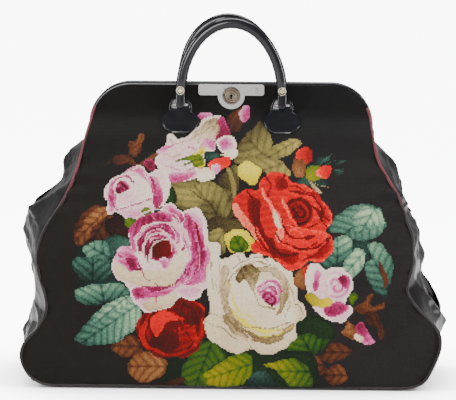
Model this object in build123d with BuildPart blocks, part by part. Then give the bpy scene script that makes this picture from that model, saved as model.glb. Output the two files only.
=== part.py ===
from build123d import *

import os

# Carpet bag on a hinged steel frame. Millimetres, +Z up, +X to the wearer's right along the frame,
# -Y towards the needlework front. The origin is on the floor, under the middle of the base.

os.makedirs("parts", exist_ok=True)

# ---- soft body: seam to seam widths and depths, from the floor up ----
base_width = 414.0
base_depth = 160.0
belly_width = 444.0
belly_depth = 174.0
waist_width = 406.0
waist_depth = 152.0
shoulder_width = 336.0
shoulder_depth = 104.0
belly_height = 40.0
waist_rise = 110.0
shoulder_rise = 80.0
neck_rise = 38.0
# how far each wall swells past its seams at those heights
belly_swell = 6.0
waist_swell = 10.0
shoulder_swell = 8.0
belly_puff = 8.0
waist_puff = 20.0
shoulder_puff = 6.0
edge_swell = 1.0

# ---- cloth, leather and board ----
cloth = 3.0
lining_cloth = 1.0
base_leather = 3.0
board = 2.5
piping_radius = 2.2
seam_room = 4.0
soft_gap = 0.3
lining_gap = 0.5

# ---- frame ----
frame_width = 311.0
frame_corner = 46.0
arm_drop = 56.0
swing_gap = 3.0
gusset_step = 3.0
rail_height = 12.0
rail_depth = 6.5
rail_wall = 1.2
cover_leather = 1.4
cover_edge = 2.6
wrap_gap = 0.1
halves_gap = 0.3
lug_radius = 6.5
lug_plate = 2.2
lug_step = 4.3
rivet_radius = 2.0
rivet_clearance = 0.05
rivet_head = 4.0
rivet_head_thickness = 1.5
top_flare = 26.0
top_straight = 14.0

# ---- handles ----
handle_radius = 5.6
handle_leather = 1.3
handle_span = 111.0
handle_rise = 88.0
handle_shoulder_rise = 43.0
handle_bend = 45.0
handle_crown = 38.0
handle_top_half = 22.0
tongue_width = 10.0
tongue_thickness = 6.0
tongue_length = 22.0
eye_radius = 3.2
loop_wire = 1.5
loop_width = 15.0
loop_bend = 2.5
loop_drop = 24.8
stud_radius = 4.5
stud_height = 2.4
stud_shank = 1.2
stud_rise = 16.0

# ---- leather anchor under each handle foot ----
patch = 2.0
patch_upper = 13.0
patch_lower_width = 20.7
patch_lower_height = 13.0

# ---- lock ----
plate_width = 72.0
plate_height = 12.3
plate_from_top = 2.0
plate_thickness = 1.2
plate_rim = 0.5
plate_rim_width = 1.2
plate_round = 14.8
lock_drop = 14.5
rosette_radius = 9.7
rosette_thickness = 1.6
plug_radius = 4.0
plug_clearance = 0.08
plug_collar = 5.2
plug_collar_thickness = 1.2
keyhole_radius = 1.5
keyhole_slot = 1.3
keyhole_slot_length = 4.2
case_width = 20.0
case_height = 20.0
case_wall = 0.8
bolt_length = 6.7
bolt_height = 3.0
bolt_depth = 3.6
bolt_travel = 4.5
catch_width = 4.0
catch_tall = 5.4
lock_rise = 0.8
plate_rivet_half = 30.0
plate_rivet_head = 1.9
plate_rivet_shank = 1.0

# ---- worked out from the sizes above ----
BASE = (Align.CENTER, Align.CENTER, Align.MIN)
waist_height = belly_height + waist_rise
shoulder_height = waist_height + shoulder_rise
mouth_height = shoulder_height + neck_rise
hinge_height = mouth_height + swing_gap
gusset_head = mouth_height - gusset_step
frame_top = hinge_height + arm_drop
half_gap = halves_gap / 2
cover_wall = cover_leather + wrap_gap
frame_depth = half_gap + rail_depth + 2 * cover_wall
band = rail_height + 2 * cover_wall
far = 2 * frame_depth
frame_foot = hinge_height + lug_radius + 1
tab_inner = frame_width / 2 - 3.3
tab_outer = tab_inner + cloth
tab_width = 2 * lug_radius - 1
tab_foot = gusset_head - 3
front_lug_face = frame_width / 2 - 6.5
back_lug_face = front_lug_face - lug_plate - soft_gap
inner_head = back_lug_face - soft_gap - rivet_head_thickness
pipe_inset = cloth / 2
wall_foot = 2 * piping_radius + 0.4
patch_face = frame_depth + patch
mouth_half_depth = top_flare + patch + cloth + 2
mouth_half_width = frame_width / 2 + 0.5
panel_top_foot = hinge_height + 0.5
panel_top_head = frame_top - band - soft_gap
handle_plane = frame_depth + soft_gap + handle_radius
handle_core = handle_radius - handle_leather
loop_centre = handle_span / 2
loop_height = frame_top - loop_drop
loop_foot = frame_depth - half_gap - cloth - 1
loop_legs = [
    (side * loop_centre + leg * loop_width / 2, -frame_depth, loop_height)
    for side in (-1, 1)
    for leg in (-1, 1)
]
tongue_swell = (handle_radius - tongue_thickness / 2) / (tongue_length - 2 * eye_radius)
stud_face = tongue_thickness / 2 + (stud_rise - 2 * eye_radius) * tongue_swell
stud_places = [(side * loop_centre, -handle_plane, loop_height + stud_rise) for side in (-1, 1)]
lock_height = frame_top - lock_drop
window_height = lock_height + lock_rise
window = (case_width + 2 * soft_gap, frame_depth + 2, case_height + 2 * soft_gap)
case_back = 4 * half_gap
plate_rivet_height = frame_top - plate_from_top - plate_height / 2
rivet_places = [(side * plate_rivet_half, -frame_depth, plate_rivet_height) for side in (-1, 1)]
rivet_hole = plate_rivet_shank + rivet_clearance
rivet_reach = cover_wall + rail_wall + 1
bolt_middle = lock_height + plug_radius + soft_gap + bolt_height / 2 + case_wall
bolt_plane = half_gap + bolt_depth / 2 + 2.4
bolt_start = case_wall + 0.2 - case_width / 2
collar_back = bolt_plane + bolt_depth / 2 + soft_gap + 0.6
catch_height = bolt_middle
catch_reach = bolt_plane + bolt_depth / 2 + soft_gap + half_gap + cover_wall + rail_wall + 2 * wrap_gap
catch_hole = (catch_width + 4 * wrap_gap, 2 * (cover_wall + rail_wall + 1), catch_tall + 4 * wrap_gap)

# half width, half depth, front swell and side puff of the seams at a height
levels = [
    (0.0, base_width / 2, base_depth / 2, edge_swell, edge_swell),
    (belly_height, belly_width / 2, belly_depth / 2, belly_swell, belly_puff),
    (waist_height, waist_width / 2, waist_depth / 2, waist_swell, waist_puff),
    (shoulder_height, shoulder_width / 2, shoulder_depth / 2, shoulder_swell, shoulder_puff),
    (mouth_height, mouth_half_width, mouth_half_depth, edge_swell, edge_swell),
]


def seam_at(height):
    """Half width, half depth, front swell and side puff of the bag at one height."""
    for low, high in zip(levels, levels[1:]):
        if height <= high[0]:
            share = (height - low[0]) / (high[0] - low[0])
            return [a + share * (b - a) for a, b in zip(low[1:], high[1:])]
    return list(levels[-1][1:])


def heights(foot, head):
    """The heights that a wall is drawn at, between its foot and its head."""
    return [foot] + [level[0] for level in levels if foot < level[0] < head] + [head]


def bowed_strip(plane, half_length, face, swell, thickness):
    """Thin strip on a plane, bowed towards the plane's -Y."""
    with BuildSketch(plane) as strip:
        with BuildLine():
            outer = ThreePointArc((-half_length, -face), (0, -face - swell), (half_length, -face))
            inner = ThreePointArc(
                (half_length, thickness - face),
                (0, thickness - face - swell),
                (-half_length, thickness - face),
            )
            Line(outer @ 1, inner @ 0)
            Line(inner @ 1, outer @ 0)
        make_face()
    return strip.sketch


def front_strip(height):
    """Section of the front wall at one height."""
    half_width, half_depth, swell, puff = seam_at(height)
    return bowed_strip(Plane.XY.offset(height), half_width - seam_room, half_depth, swell, cloth)


def side_strip(height):
    """Section of the right-hand gusset at one height."""
    half_width, half_depth, swell, puff = seam_at(height)
    plane = Plane(origin=(0, 0, height), x_dir=(0, 1, 0), z_dir=(0, 0, 1))
    return bowed_strip(plane, half_depth - seam_room, half_width, puff, cloth)


def bowed_room(height, inset):
    """Outline of the bag at one height, drawn in by an inset, with all four sides bowed."""
    half_width, half_depth, swell, puff = seam_at(height)
    x = half_width - inset
    y = half_depth - inset
    with BuildSketch(Plane.XY.offset(height)) as room:
        with BuildLine():
            ThreePointArc((-x, -y), (0, -y - swell), (x, -y))
            ThreePointArc((x, -y), (x + puff, 0), (x, y))
            ThreePointArc((x, y), (0, y + swell), (-x, y))
            ThreePointArc((-x, y), (-x - puff, 0), (-x, -y))
        make_face()
    return room.sketch


def seam_round(height, side):
    """Section of the piping in one side seam at one height."""
    half_width, half_depth, swell, puff = seam_at(height)
    with BuildSketch(Plane.XY.offset(height)) as section:
        with Locations((side * (half_width - pipe_inset), pipe_inset - half_depth)):
            Circle(piping_radius)
    return section.sketch


def arch(inset, foot, depth):
    """Face under the frame's outline drawn in by an inset, at a depth in front of the middle."""
    half = frame_width / 2 - inset
    top = frame_top - inset
    with BuildSketch(Plane.XZ.offset(depth)) as face:
        with BuildLine():
            outline = FilletPolyline(
                (-half, foot), (-half, top), (half, top), (half, foot), radius=frame_corner - inset
            )
            Line(outline @ 1, outline @ 0)
        make_face()
    return face.sketch


def top_profile(face, thickness):
    """Side profile of what hangs under the frame: straight down, then flaring outwards."""
    knee = panel_top_head - top_straight
    flare = top_flare + face - frame_depth
    with BuildSketch(Plane.YZ) as profile:
        with BuildLine():
            Polyline(
                (-face, panel_top_head),
                (-face, knee),
                (-flare, panel_top_foot),
                (thickness - flare, panel_top_foot),
                (thickness - face, knee),
                (thickness - face, panel_top_head),
                close=True,
            )
        make_face()
    return profile.sketch


def gourd(centre_x):
    """Outline of an anchor patch: a small lobe over a wide one."""
    upper = panel_top_head - patch_upper
    lower = panel_top_foot + patch_lower_height + soft_gap
    with BuildSketch(Plane.XZ) as outline:
        with Locations((centre_x, upper)):
            Circle(patch_upper)
        with Locations((centre_x, lower)):
            Ellipse(patch_lower_width, patch_lower_height)
    return outline.sketch


def copy_of(piece, about):
    """The same piece on the other side of a plane."""
    return mirror(piece.part, about=about, mode=Mode.PRIVATE)


# ---- base ----
with BuildPart() as base_panel:
    with BuildSketch():
        Rectangle(base_width, base_depth - 2 * seam_room)
    extrude(amount=base_leather)
    fillet(base_panel.edges().filter_by(Axis.Z), radius=6)

with BuildPart() as base_board:
    with BuildSketch(Plane.XY.offset(base_leather)):
        Rectangle(base_width - 2 * (cloth + lining_gap), base_depth - 2 * (seam_room + soft_gap))
    extrude(amount=board)
    fillet(base_board.edges().filter_by(Axis.Z), radius=8)

# ---- walls below the hinge line ----
with BuildPart() as front_panel:
    loft([front_strip(height) for height in heights(wall_foot, mouth_height)], ruled=True)

with BuildPart() as back_panel:
    add(copy_of(front_panel, Plane.XZ))

with BuildPart() as gusset_right:
    loft([side_strip(height) for height in heights(base_leather + soft_gap, gusset_head)], ruled=True)
    # the tab that the hinge rivet holds
    with BuildSketch(Plane.YZ.offset(tab_inner)):
        with Locations((0, hinge_height)):
            Circle(lug_radius + soft_gap)
        with Locations((0, (hinge_height + tab_foot) / 2)):
            Rectangle(tab_width, hinge_height - tab_foot)
    extrude(amount=cloth)
    with Locations((tab_inner, 0, tab_foot)):
        Box(2 * cloth, tab_width, gusset_head + 1 - tab_foot, align=(Align.MIN, Align.CENTER, Align.MIN))
    with Locations((tab_inner, 0, hinge_height)):
        Cylinder(
            rivet_radius + rivet_clearance, 4 * cloth, rotation=(0, 90, 0), mode=Mode.SUBTRACT
        )

with BuildPart() as gusset_left:
    add(copy_of(gusset_right, Plane.YZ))

lining_foot = base_leather + board + soft_gap
lining_head = tab_foot - 1
lining_inset = cloth + lining_gap
with BuildPart() as lining:
    loft([bowed_room(height, lining_inset) for height in heights(lining_foot, lining_head)], ruled=True)
    room_heights = heights(lining_foot + lining_cloth, lining_head)
    room = [bowed_room(height, lining_inset + lining_cloth) for height in room_heights]
    loft(room, ruled=True, mode=Mode.SUBTRACT)

# ---- piping in the seams of the front, down each side and along the floor ----
floor_run = piping_radius + 0.1
with BuildPart() as front_piping:
    for side in (-1, 1):
        loft([seam_round(height, side) for height in heights(floor_run, gusset_head)], ruled=True)
    half_width, half_depth, swell, puff = seam_at(floor_run)
    with Locations((0, pipe_inset - half_depth, floor_run)):
        Cylinder(piping_radius, 2 * (half_width - pipe_inset), rotation=(0, 90, 0))
    with Locations(
        (half_width - pipe_inset, pipe_inset - half_depth, floor_run),
        (pipe_inset - half_width, pipe_inset - half_depth, floor_run),
    ):
        Sphere(piping_radius)

with BuildPart() as back_piping:
    add(copy_of(front_piping, Plane.XZ))

# ---- hinge rivets ----
with BuildPart() as hinge_rivet_right:
    with Locations(Location((inner_head, 0, hinge_height), (0, 90, 0))):
        Cylinder(rivet_head, rivet_head_thickness, align=BASE)
        Cylinder(rivet_radius, tab_outer + soft_gap - inner_head, align=BASE)
    with Locations(Location((tab_outer + soft_gap, 0, hinge_height), (0, 90, 0))):
        Cylinder(rivet_head, rivet_head_thickness, align=BASE)

with BuildPart() as hinge_rivet_left:
    add(copy_of(hinge_rivet_right, Plane.YZ))


# ---- frame, drawn as the front half ----
def channel_rail(lug_face):
    """Pressed steel channel, open towards the cloth, with a hinge lug at each end."""
    rail_face = half_gap + cover_wall
    with BuildPart() as channel:
        extrude(arch(cover_wall, frame_foot, rail_face), amount=rail_depth)
        extrude(
            arch(cover_wall + rail_height, frame_foot, rail_face), amount=rail_depth, mode=Mode.SUBTRACT
        )
        extrude(
            arch(cover_wall + rail_wall, frame_foot, rail_face + rail_wall),
            amount=rail_depth - 2 * rail_wall,
            mode=Mode.SUBTRACT,
        )
        neck_top = frame_foot + lug_radius
        for start in (lug_face, -lug_face - lug_plate):
            with BuildSketch(Plane.YZ.offset(start)):
                with Locations((0, hinge_height)):
                    Circle(lug_radius)
                with Locations((-rail_face - rail_depth / 2, (hinge_height + neck_top) / 2)):
                    Rectangle(rail_depth, neck_top - hinge_height)
            extrude(amount=lug_plate)
        with Locations((0, 0, hinge_height)):
            Cylinder(
                rivet_radius + rivet_clearance, frame_width, rotation=(0, 90, 0), mode=Mode.SUBTRACT
            )
    return channel.part


def leather_wrap():
    """Leather wrapped round a rail, rounded on its outer edges."""
    with BuildPart() as wrap:
        extrude(arch(0, frame_foot, half_gap), amount=frame_depth - half_gap)
        outer_edges = wrap.faces().sort_by(Axis.Y)[0].edges().sort_by(Axis.Z)[1:]
        fillet(outer_edges, radius=cover_edge)
        extrude(
            arch(band, frame_foot, half_gap), amount=frame_depth - half_gap, mode=Mode.SUBTRACT
        )
        slot_face = half_gap + cover_leather
        slot = arch(cover_leather, frame_foot, slot_face) - arch(band - cover_leather, frame_foot, slot_face)
        extrude(slot, amount=rail_depth + 2 * wrap_gap, mode=Mode.SUBTRACT)
    return wrap.part


with BuildPart() as front_frame_rail:
    add(channel_rail(front_lug_face))
    with Locations((0, -frame_depth / 2, window_height)):
        Box(*window, mode=Mode.SUBTRACT)
    with Locations(*rivet_places):
        Cylinder(rivet_hole, 2 * rivet_reach, rotation=(90, 0, 0), mode=Mode.SUBTRACT)

with BuildPart() as front_frame_cover:
    add(leather_wrap())
    with Locations((0, -frame_depth / 2, window_height)):
        Box(*window, mode=Mode.SUBTRACT)
    with Locations(*rivet_places):
        Cylinder(rivet_hole, 2 * rivet_reach, rotation=(90, 0, 0), mode=Mode.SUBTRACT)

with BuildPart() as back_frame_rail:
    add(mirror(channel_rail(back_lug_face), about=Plane.XZ, mode=Mode.PRIVATE))
    with Locations((0, half_gap, catch_height)):
        Box(*catch_hole, mode=Mode.SUBTRACT)

with BuildPart() as back_frame_cover:
    add(mirror(leather_wrap(), about=Plane.XZ, mode=Mode.PRIVATE))
    with Locations((0, half_gap, catch_height)):
        Box(*catch_hole, mode=Mode.SUBTRACT)


# ---- the strips of cloth above the hinge line ----
def strip_under_frame():
    """The strip of panel that hangs under a frame half, with holes for the handle loops."""
    with BuildPart() as strip:
        extrude(top_profile(frame_depth - half_gap, cloth), amount=frame_width / 2, both=True)
        extrude(
            arch(band + soft_gap, panel_top_foot - 1, 0), amount=4 * far, both=True, mode=Mode.INTERSECT
        )
        with Locations(*loop_legs):
            Cylinder(loop_wire + wrap_gap, 2 * handle_plane, rotation=(90, 0, 0), mode=Mode.SUBTRACT)
    return strip.part


with BuildPart() as front_panel_top:
    add(strip_under_frame())
    with Locations((0, -frame_depth / 2, window_height)):
        Box(*window, mode=Mode.SUBTRACT)

with BuildPart() as back_panel_top:
    add(mirror(strip_under_frame(), about=Plane.XZ, mode=Mode.PRIVATE))

# ---- anchor patches and handle loops ----
with BuildPart() as front_anchor_right:
    extrude(top_profile(patch_face, patch), amount=frame_width / 2, both=True)
    extrude(gourd(loop_centre), amount=4 * far, both=True, mode=Mode.INTERSECT)
    with Locations(*loop_legs):
        Cylinder(loop_wire + wrap_gap, 4 * handle_plane, rotation=(90, 0, 0), mode=Mode.SUBTRACT)

with BuildPart() as front_anchor_left:
    add(copy_of(front_anchor_right, Plane.YZ))

with BuildPart() as front_loop_right:
    with BuildLine(Plane.XY.offset(loop_height)):
        loop_path = FilletPolyline(
            (loop_centre - loop_width / 2, -loop_foot),
            (loop_centre - loop_width / 2, -handle_plane),
            (loop_centre + loop_width / 2, -handle_plane),
            (loop_centre + loop_width / 2, -loop_foot),
            radius=loop_bend,
        )
    with BuildSketch(Plane(origin=loop_path @ 0, z_dir=loop_path % 0)):
        Circle(loop_wire)
    sweep(path=loop_path)

with BuildPart() as front_loop_left:
    add(copy_of(front_loop_right, Plane.YZ))

with BuildPart() as back_anchor_right:
    add(copy_of(front_anchor_right, Plane.XZ))

with BuildPart() as back_anchor_left:
    add(copy_of(front_anchor_left, Plane.XZ))

with BuildPart() as back_loop_right:
    add(copy_of(front_loop_right, Plane.XZ))

with BuildPart() as back_loop_left:
    add(copy_of(front_loop_left, Plane.XZ))

# ---- handles ----
tube_foot = loop_height + tongue_length
with BuildPart() as front_handle_studs:
    for place in stud_places:
        with Locations(Location(place, (90, 0, 0))):
            Cylinder(stud_shank, 2 * stud_face)
        with Locations(Location((place[0], place[1] - stud_face, place[2]), (90, 0, 0))):
            Cylinder(stud_radius, stud_height / 3, align=BASE)
            Cone(stud_radius, stud_radius / 2, stud_height, align=BASE)

with BuildPart() as front_handle:
    with BuildLine(Plane.XZ.offset(handle_plane)):
        handle_path = FilletPolyline(
            (-loop_centre, tube_foot),
            (-loop_centre, loop_height + handle_shoulder_rise),
            (-handle_top_half, loop_height + handle_rise),
            (handle_top_half, loop_height + handle_rise),
            (loop_centre, loop_height + handle_shoulder_rise),
            (loop_centre, tube_foot),
            radius=[handle_bend, handle_crown, handle_crown, handle_bend],
        )
    with BuildSketch(Plane(origin=handle_path @ 0, z_dir=handle_path % 0)):
        Circle(handle_radius)
        Circle(handle_core, mode=Mode.SUBTRACT)
    sweep(path=handle_path)
    for side in (-1, 1):
        with BuildSketch(Plane((side * loop_centre, -handle_plane, loop_height + 2 * eye_radius))):
            Rectangle(tongue_width, tongue_thickness)
        with BuildSketch(Plane((side * loop_centre, -handle_plane, tube_foot))):
            Circle(handle_radius)
        loft()
        with Locations((side * loop_centre, -handle_plane, loop_height)):
            Cylinder(eye_radius, tongue_width, rotation=(0, 90, 0))
        with Locations((side * loop_centre, -handle_plane, loop_height + eye_radius)):
            Box(tongue_width, tongue_thickness, 2 * eye_radius)
    with Locations((0, -handle_plane, loop_height)):
        Cylinder(loop_wire + wrap_gap, frame_width, rotation=(0, 90, 0), mode=Mode.SUBTRACT)
    add(front_handle_studs.part, mode=Mode.SUBTRACT)

with BuildPart() as front_handle_core:
    with BuildLine(Plane.XZ.offset(handle_plane)):
        add(handle_path)
    with BuildSketch(Plane(origin=handle_path @ 0, z_dir=handle_path % 0)):
        Circle(handle_core - wrap_gap)
    sweep(path=handle_path)
    add(front_handle.part, mode=Mode.SUBTRACT)

with BuildPart() as back_handle:
    add(copy_of(front_handle, Plane.XZ))

with BuildPart() as back_handle_core:
    add(copy_of(front_handle_core, Plane.XZ))

with BuildPart() as back_handle_studs:
    add(copy_of(front_handle_studs, Plane.XZ))

# ---- lock ----
plate_bar_height = frame_top - plate_from_top - plate_height / 2
with BuildPart() as lock_plate:
    with BuildSketch(Plane.XZ.offset(frame_depth)) as plate_outline:
        with Locations((0, lock_height)):
            Circle(plate_round)
        with Locations((0, frame_top - plate_from_top + plate_round)):
            Rectangle(4 * plate_round, 2 * plate_round, mode=Mode.SUBTRACT)
        with Locations((0, plate_bar_height)):
            RectangleRounded(plate_width, plate_height, plate_height / 4)
    extrude(amount=plate_thickness)
    with BuildSketch(Plane.XZ.offset(frame_depth + plate_thickness)):
        add(plate_outline.sketch.moved(Location((0, -plate_thickness, 0))))
        offset(amount=-plate_rim_width, mode=Mode.SUBTRACT)
    extrude(amount=plate_rim)
    with Locations(*rivet_places):
        Cylinder(rivet_hole, 2 * rivet_reach, rotation=(90, 0, 0), mode=Mode.SUBTRACT)
    with Locations((0, -frame_depth, lock_height)):
        Cylinder(
            plug_radius + plug_clearance, 4 * plate_thickness, rotation=(90, 0, 0), mode=Mode.SUBTRACT
        )

with BuildPart() as lock_rivets:
    for place in rivet_places:
        head = (place[0], -frame_depth - plate_thickness, place[2])
        with Locations(Location(head, (90, 0, 0))):
            Cylinder(plate_rivet_head, plate_rivet_head / 3, align=BASE)
        with Locations(Location(head, (-90, 0, 0))):
            Cylinder(plate_rivet_shank, plate_thickness + cover_wall + rail_wall + 1, align=BASE)

case_face = frame_depth - soft_gap
with BuildPart() as lock_case:
    with BuildSketch(Plane.XZ.offset(case_back)):
        with Locations((0, window_height)):
            Rectangle(case_width, case_height)
    extrude(amount=case_face - case_back)
    with BuildSketch(Plane.XZ.offset(case_back)):
        with Locations((0, window_height)):
            Rectangle(case_width - 2 * case_wall, case_height - 2 * case_wall)
    extrude(amount=case_face - case_back - case_wall, mode=Mode.SUBTRACT)
    with Locations((0, -case_face, lock_height)):
        Cylinder(plug_radius + soft_gap, 4 * case_wall, rotation=(90, 0, 0), mode=Mode.SUBTRACT)
    # ledge that the bolt slides on
    with Locations((case_wall - case_width / 2, -bolt_plane, bolt_middle - bolt_height / 2 - soft_gap)):
        Box(
            bolt_length,
            bolt_depth,
            case_wall,
            align=(Align.MIN, Align.CENTER, Align.MAX),
        )

with BuildPart() as lock_bolt:
    with Locations((bolt_start, -bolt_plane, bolt_middle)):
        Box(bolt_length, bolt_depth, bolt_height, align=(Align.MIN, Align.CENTER, Align.CENTER))

with BuildPart() as catch_tongue:
    with Locations((0, -bolt_plane - bolt_depth / 2 - soft_gap, catch_height)):
        Box(catch_width, catch_reach, catch_tall, align=(Align.CENTER, Align.MIN, Align.CENTER))
    with Locations((0, half_gap + cover_wall + rail_wall + wrap_gap, catch_height)):
        Box(
            3 * catch_width,
            rail_depth - 2 * (rail_wall + wrap_gap),
            catch_tall,
            align=(Align.CENTER, Align.MIN, Align.CENTER),
        )
    with Locations((0, -bolt_plane, bolt_middle)):
        Box(
            2 * catch_width,
            bolt_depth + soft_gap,
            bolt_height + 2 * soft_gap,
            mode=Mode.SUBTRACT,
        )

with BuildPart() as key_rosette:
    face = frame_depth + plate_thickness + half_gap
    with Locations(Location((0, -face, lock_height), (90, 0, 0))):
        Cylinder(rosette_radius, rosette_thickness, align=BASE)
        Cylinder(rosette_radius * 0.62, rosette_thickness + 0.7, align=BASE)
    with BuildSketch(Plane.XZ.offset(face + rosette_thickness)):
        with Locations((0, lock_height)):
            Circle(rosette_radius - 0.4)
            Circle(rosette_radius - 1.6, mode=Mode.SUBTRACT)
    extrude(amount=0.5)
    with Locations(Location((0, -face, lock_height), (-90, 0, 0))):
        Cylinder(plug_radius, face - collar_back, align=BASE)
    with Locations(Location((0, -collar_back - plug_collar_thickness, lock_height), (-90, 0, 0))):
        Cylinder(plug_collar, plug_collar_thickness, align=BASE)
    with Locations((0, -face, lock_height)):
        Cylinder(keyhole_radius, 4 * rosette_thickness, rotation=(90, 0, 0), mode=Mode.SUBTRACT)
    with Locations((0, -face, lock_height)):
        Box(
            keyhole_slot,
            4 * rosette_thickness,
            keyhole_slot_length,
            align=(Align.CENTER, Align.CENTER, Align.MAX),
            mode=Mode.SUBTRACT,
        )

pieces = {
    "base_panel": base_panel,
    "base_board": base_board,
    "front_panel": front_panel,
    "back_panel": back_panel,
    "gusset_left": gusset_left,
    "gusset_right": gusset_right,
    "front_piping": front_piping,
    "back_piping": back_piping,
    "lining": lining,
    "hinge_rivet_left": hinge_rivet_left,
    "hinge_rivet_right": hinge_rivet_right,
    "front_frame_rail": front_frame_rail,
    "front_frame_cover": front_frame_cover,
    "front_panel_top": front_panel_top,
    "front_anchor_left": front_anchor_left,
    "front_anchor_right": front_anchor_right,
    "front_loop_left": front_loop_left,
    "front_loop_right": front_loop_right,
    "back_frame_rail": back_frame_rail,
    "back_frame_cover": back_frame_cover,
    "back_panel_top": back_panel_top,
    "back_anchor_left": back_anchor_left,
    "back_anchor_right": back_anchor_right,
    "back_loop_left": back_loop_left,
    "back_loop_right": back_loop_right,
    "catch_tongue": catch_tongue,
    "front_handle": front_handle,
    "front_handle_core": front_handle_core,
    "front_handle_studs": front_handle_studs,
    "back_handle": back_handle,
    "back_handle_core": back_handle_core,
    "back_handle_studs": back_handle_studs,
    "lock_plate": lock_plate,
    "lock_rivets": lock_rivets,
    "lock_case": lock_case,
    "lock_bolt": lock_bolt,
    "key_rosette": key_rosette,
}
for name, piece in pieces.items():
    piece.part.label = name
    export_step(piece.part, f"parts/{name}.step")
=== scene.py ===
"""Carpet bag with a needlework front, patent-leather sides, a hinged frame and a nickel lock.

Lengths inside the classes are millimetres; meshes are written in metres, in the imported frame.
"""

import logging
import math
from dataclasses import dataclass, field
from enum import Enum

import bmesh
import bpy
import numpy as np
from mathutils import Matrix, Vector, noise


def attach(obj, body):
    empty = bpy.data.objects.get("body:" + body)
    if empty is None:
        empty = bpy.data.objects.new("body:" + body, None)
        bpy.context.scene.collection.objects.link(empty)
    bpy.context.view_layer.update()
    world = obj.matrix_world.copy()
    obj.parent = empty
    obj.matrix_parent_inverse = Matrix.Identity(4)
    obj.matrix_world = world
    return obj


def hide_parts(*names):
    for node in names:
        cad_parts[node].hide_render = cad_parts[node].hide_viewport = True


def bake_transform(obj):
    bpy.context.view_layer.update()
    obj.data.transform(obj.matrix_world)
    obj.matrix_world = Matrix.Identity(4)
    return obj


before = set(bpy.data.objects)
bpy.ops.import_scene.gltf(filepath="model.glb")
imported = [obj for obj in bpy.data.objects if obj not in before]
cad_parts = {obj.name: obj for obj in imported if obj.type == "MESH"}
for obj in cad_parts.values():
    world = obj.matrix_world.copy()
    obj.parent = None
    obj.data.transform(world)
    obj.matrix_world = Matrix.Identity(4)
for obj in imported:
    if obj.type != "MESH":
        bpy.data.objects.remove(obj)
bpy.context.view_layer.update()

LOG = logging.getLogger("carpet_bag")
MM = 0.001
HANDS = ((-1, "left"), (1, "right"))
WAYS = ((-1, "front"), (1, "back"))
Line = tuple[float, ...]
Colour = tuple[float, float, float]


# ---------------------------------------------------------------- curves and meshes


def smooth_line(pairs: tuple[Line, ...], at: np.ndarray) -> np.ndarray:
    """Reads a smooth line through pairs of height and value.

    Args:
        pairs: Points as (height, value), in rising order.
        at: Heights to read the line at.

    Returns:
        The values at those heights, level beyond the ends.
    """
    knots = np.array(pairs, float)
    x, y = knots[:, 0], knots[:, 1]
    slope = np.gradient(y, x)
    at = np.clip(at, x[0], x[-1])
    i = np.clip(np.searchsorted(x, at) - 1, 0, len(x) - 2)
    step = x[i + 1] - x[i]
    t = (at - x[i]) / step
    rise = (2 * t**3 - 3 * t**2 + 1) * y[i] + (3 * t**2 - 2 * t**3) * y[i + 1]
    turn = (t**3 - 2 * t**2 + t) * slope[i] + (t**3 - t**2) * slope[i + 1]
    return rise + step * turn


def ease(value: np.ndarray | float, low: float, high: float) -> np.ndarray:
    """Goes smoothly from 0 at low to 1 at high."""
    t = np.clip((np.asarray(value, float) - low) / (high - low), 0, 1)
    return t * t * (3 - 2 * t)


def ridge(value: np.ndarray, at: float, half: float) -> np.ndarray:
    """A rounded ridge that is 1 at its middle and nearly 0 two halves away."""
    return np.exp(-(((value - at) / half) ** 2))


def closed_curve(points: Line, parts: int = 5) -> np.ndarray:
    """Rounds a closed outline.

    Args:
        points: The outline as x, z, x, z and so on.
        parts: How many short runs each side is cut into.

    Returns:
        The rounded outline, one point per row.
    """
    p = np.array(points, float).reshape(-1, 2)
    a, b, c, d = np.roll(p, 1, 0), p, np.roll(p, -1, 0), np.roll(p, -2, 0)
    t = np.linspace(0, 1, parts, endpoint=False)[None, :, None]
    a, b, c, d = (q[:, None, :] for q in (a, b, c, d))
    bend, twist = 2 * a - 5 * b + 4 * c - d, 3 * b - a - 3 * c + d
    return (0.5 * (2 * b + (c - a) * t + bend * t**2 + twist * t**3)).reshape(-1, 2)


def soft_noise(places: np.ndarray, scale: float, seed: float = 0.0) -> np.ndarray:
    """Smooth noise from -1 to 1 at many places.

    Args:
        places: One point per row, in millimetres.
        scale: Size of one lump, in millimetres.
        seed: Shifts the pattern.

    Returns:
        One value per place.
    """
    shift = Vector((seed, 1.7 * seed, 0.6 * seed))
    return np.array([noise.noise(Vector(p) / scale + shift) for p in places.tolist()])


def make_mesh(
    name: str,
    points: np.ndarray,
    faces: np.ndarray | list,
    finish: bpy.types.Material,
    uv: np.ndarray | None = None,
) -> bpy.types.Object:
    """Makes an object from points in millimetres.

    Args:
        name: Name of the piece.
        points: One point per row, in millimetres.
        faces: The corners of each face.
        finish: Material of the piece.
        uv: One texture place per point, or None.

    Returns:
        The new object, shaded as one smooth surface.
    """
    mesh = bpy.data.meshes.new(name)
    faces = np.asarray(faces).tolist() if isinstance(faces, np.ndarray) else faces
    mesh.from_pydata((np.asarray(points) * MM).tolist(), [], faces)
    if uv is not None:
        layer = mesh.uv_layers.new(name="UVMap")
        loops = np.zeros(len(mesh.loops), np.int32)
        mesh.loops.foreach_get("vertex_index", loops)
        layer.data.foreach_set("uv", np.asarray(uv, np.float32)[loops].ravel())
    mesh.polygons.foreach_set("use_smooth", [True] * len(mesh.polygons))
    mesh.materials.append(finish)
    obj = bpy.data.objects.new(name, mesh)
    bpy.context.scene.collection.objects.link(obj)
    return obj


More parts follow.
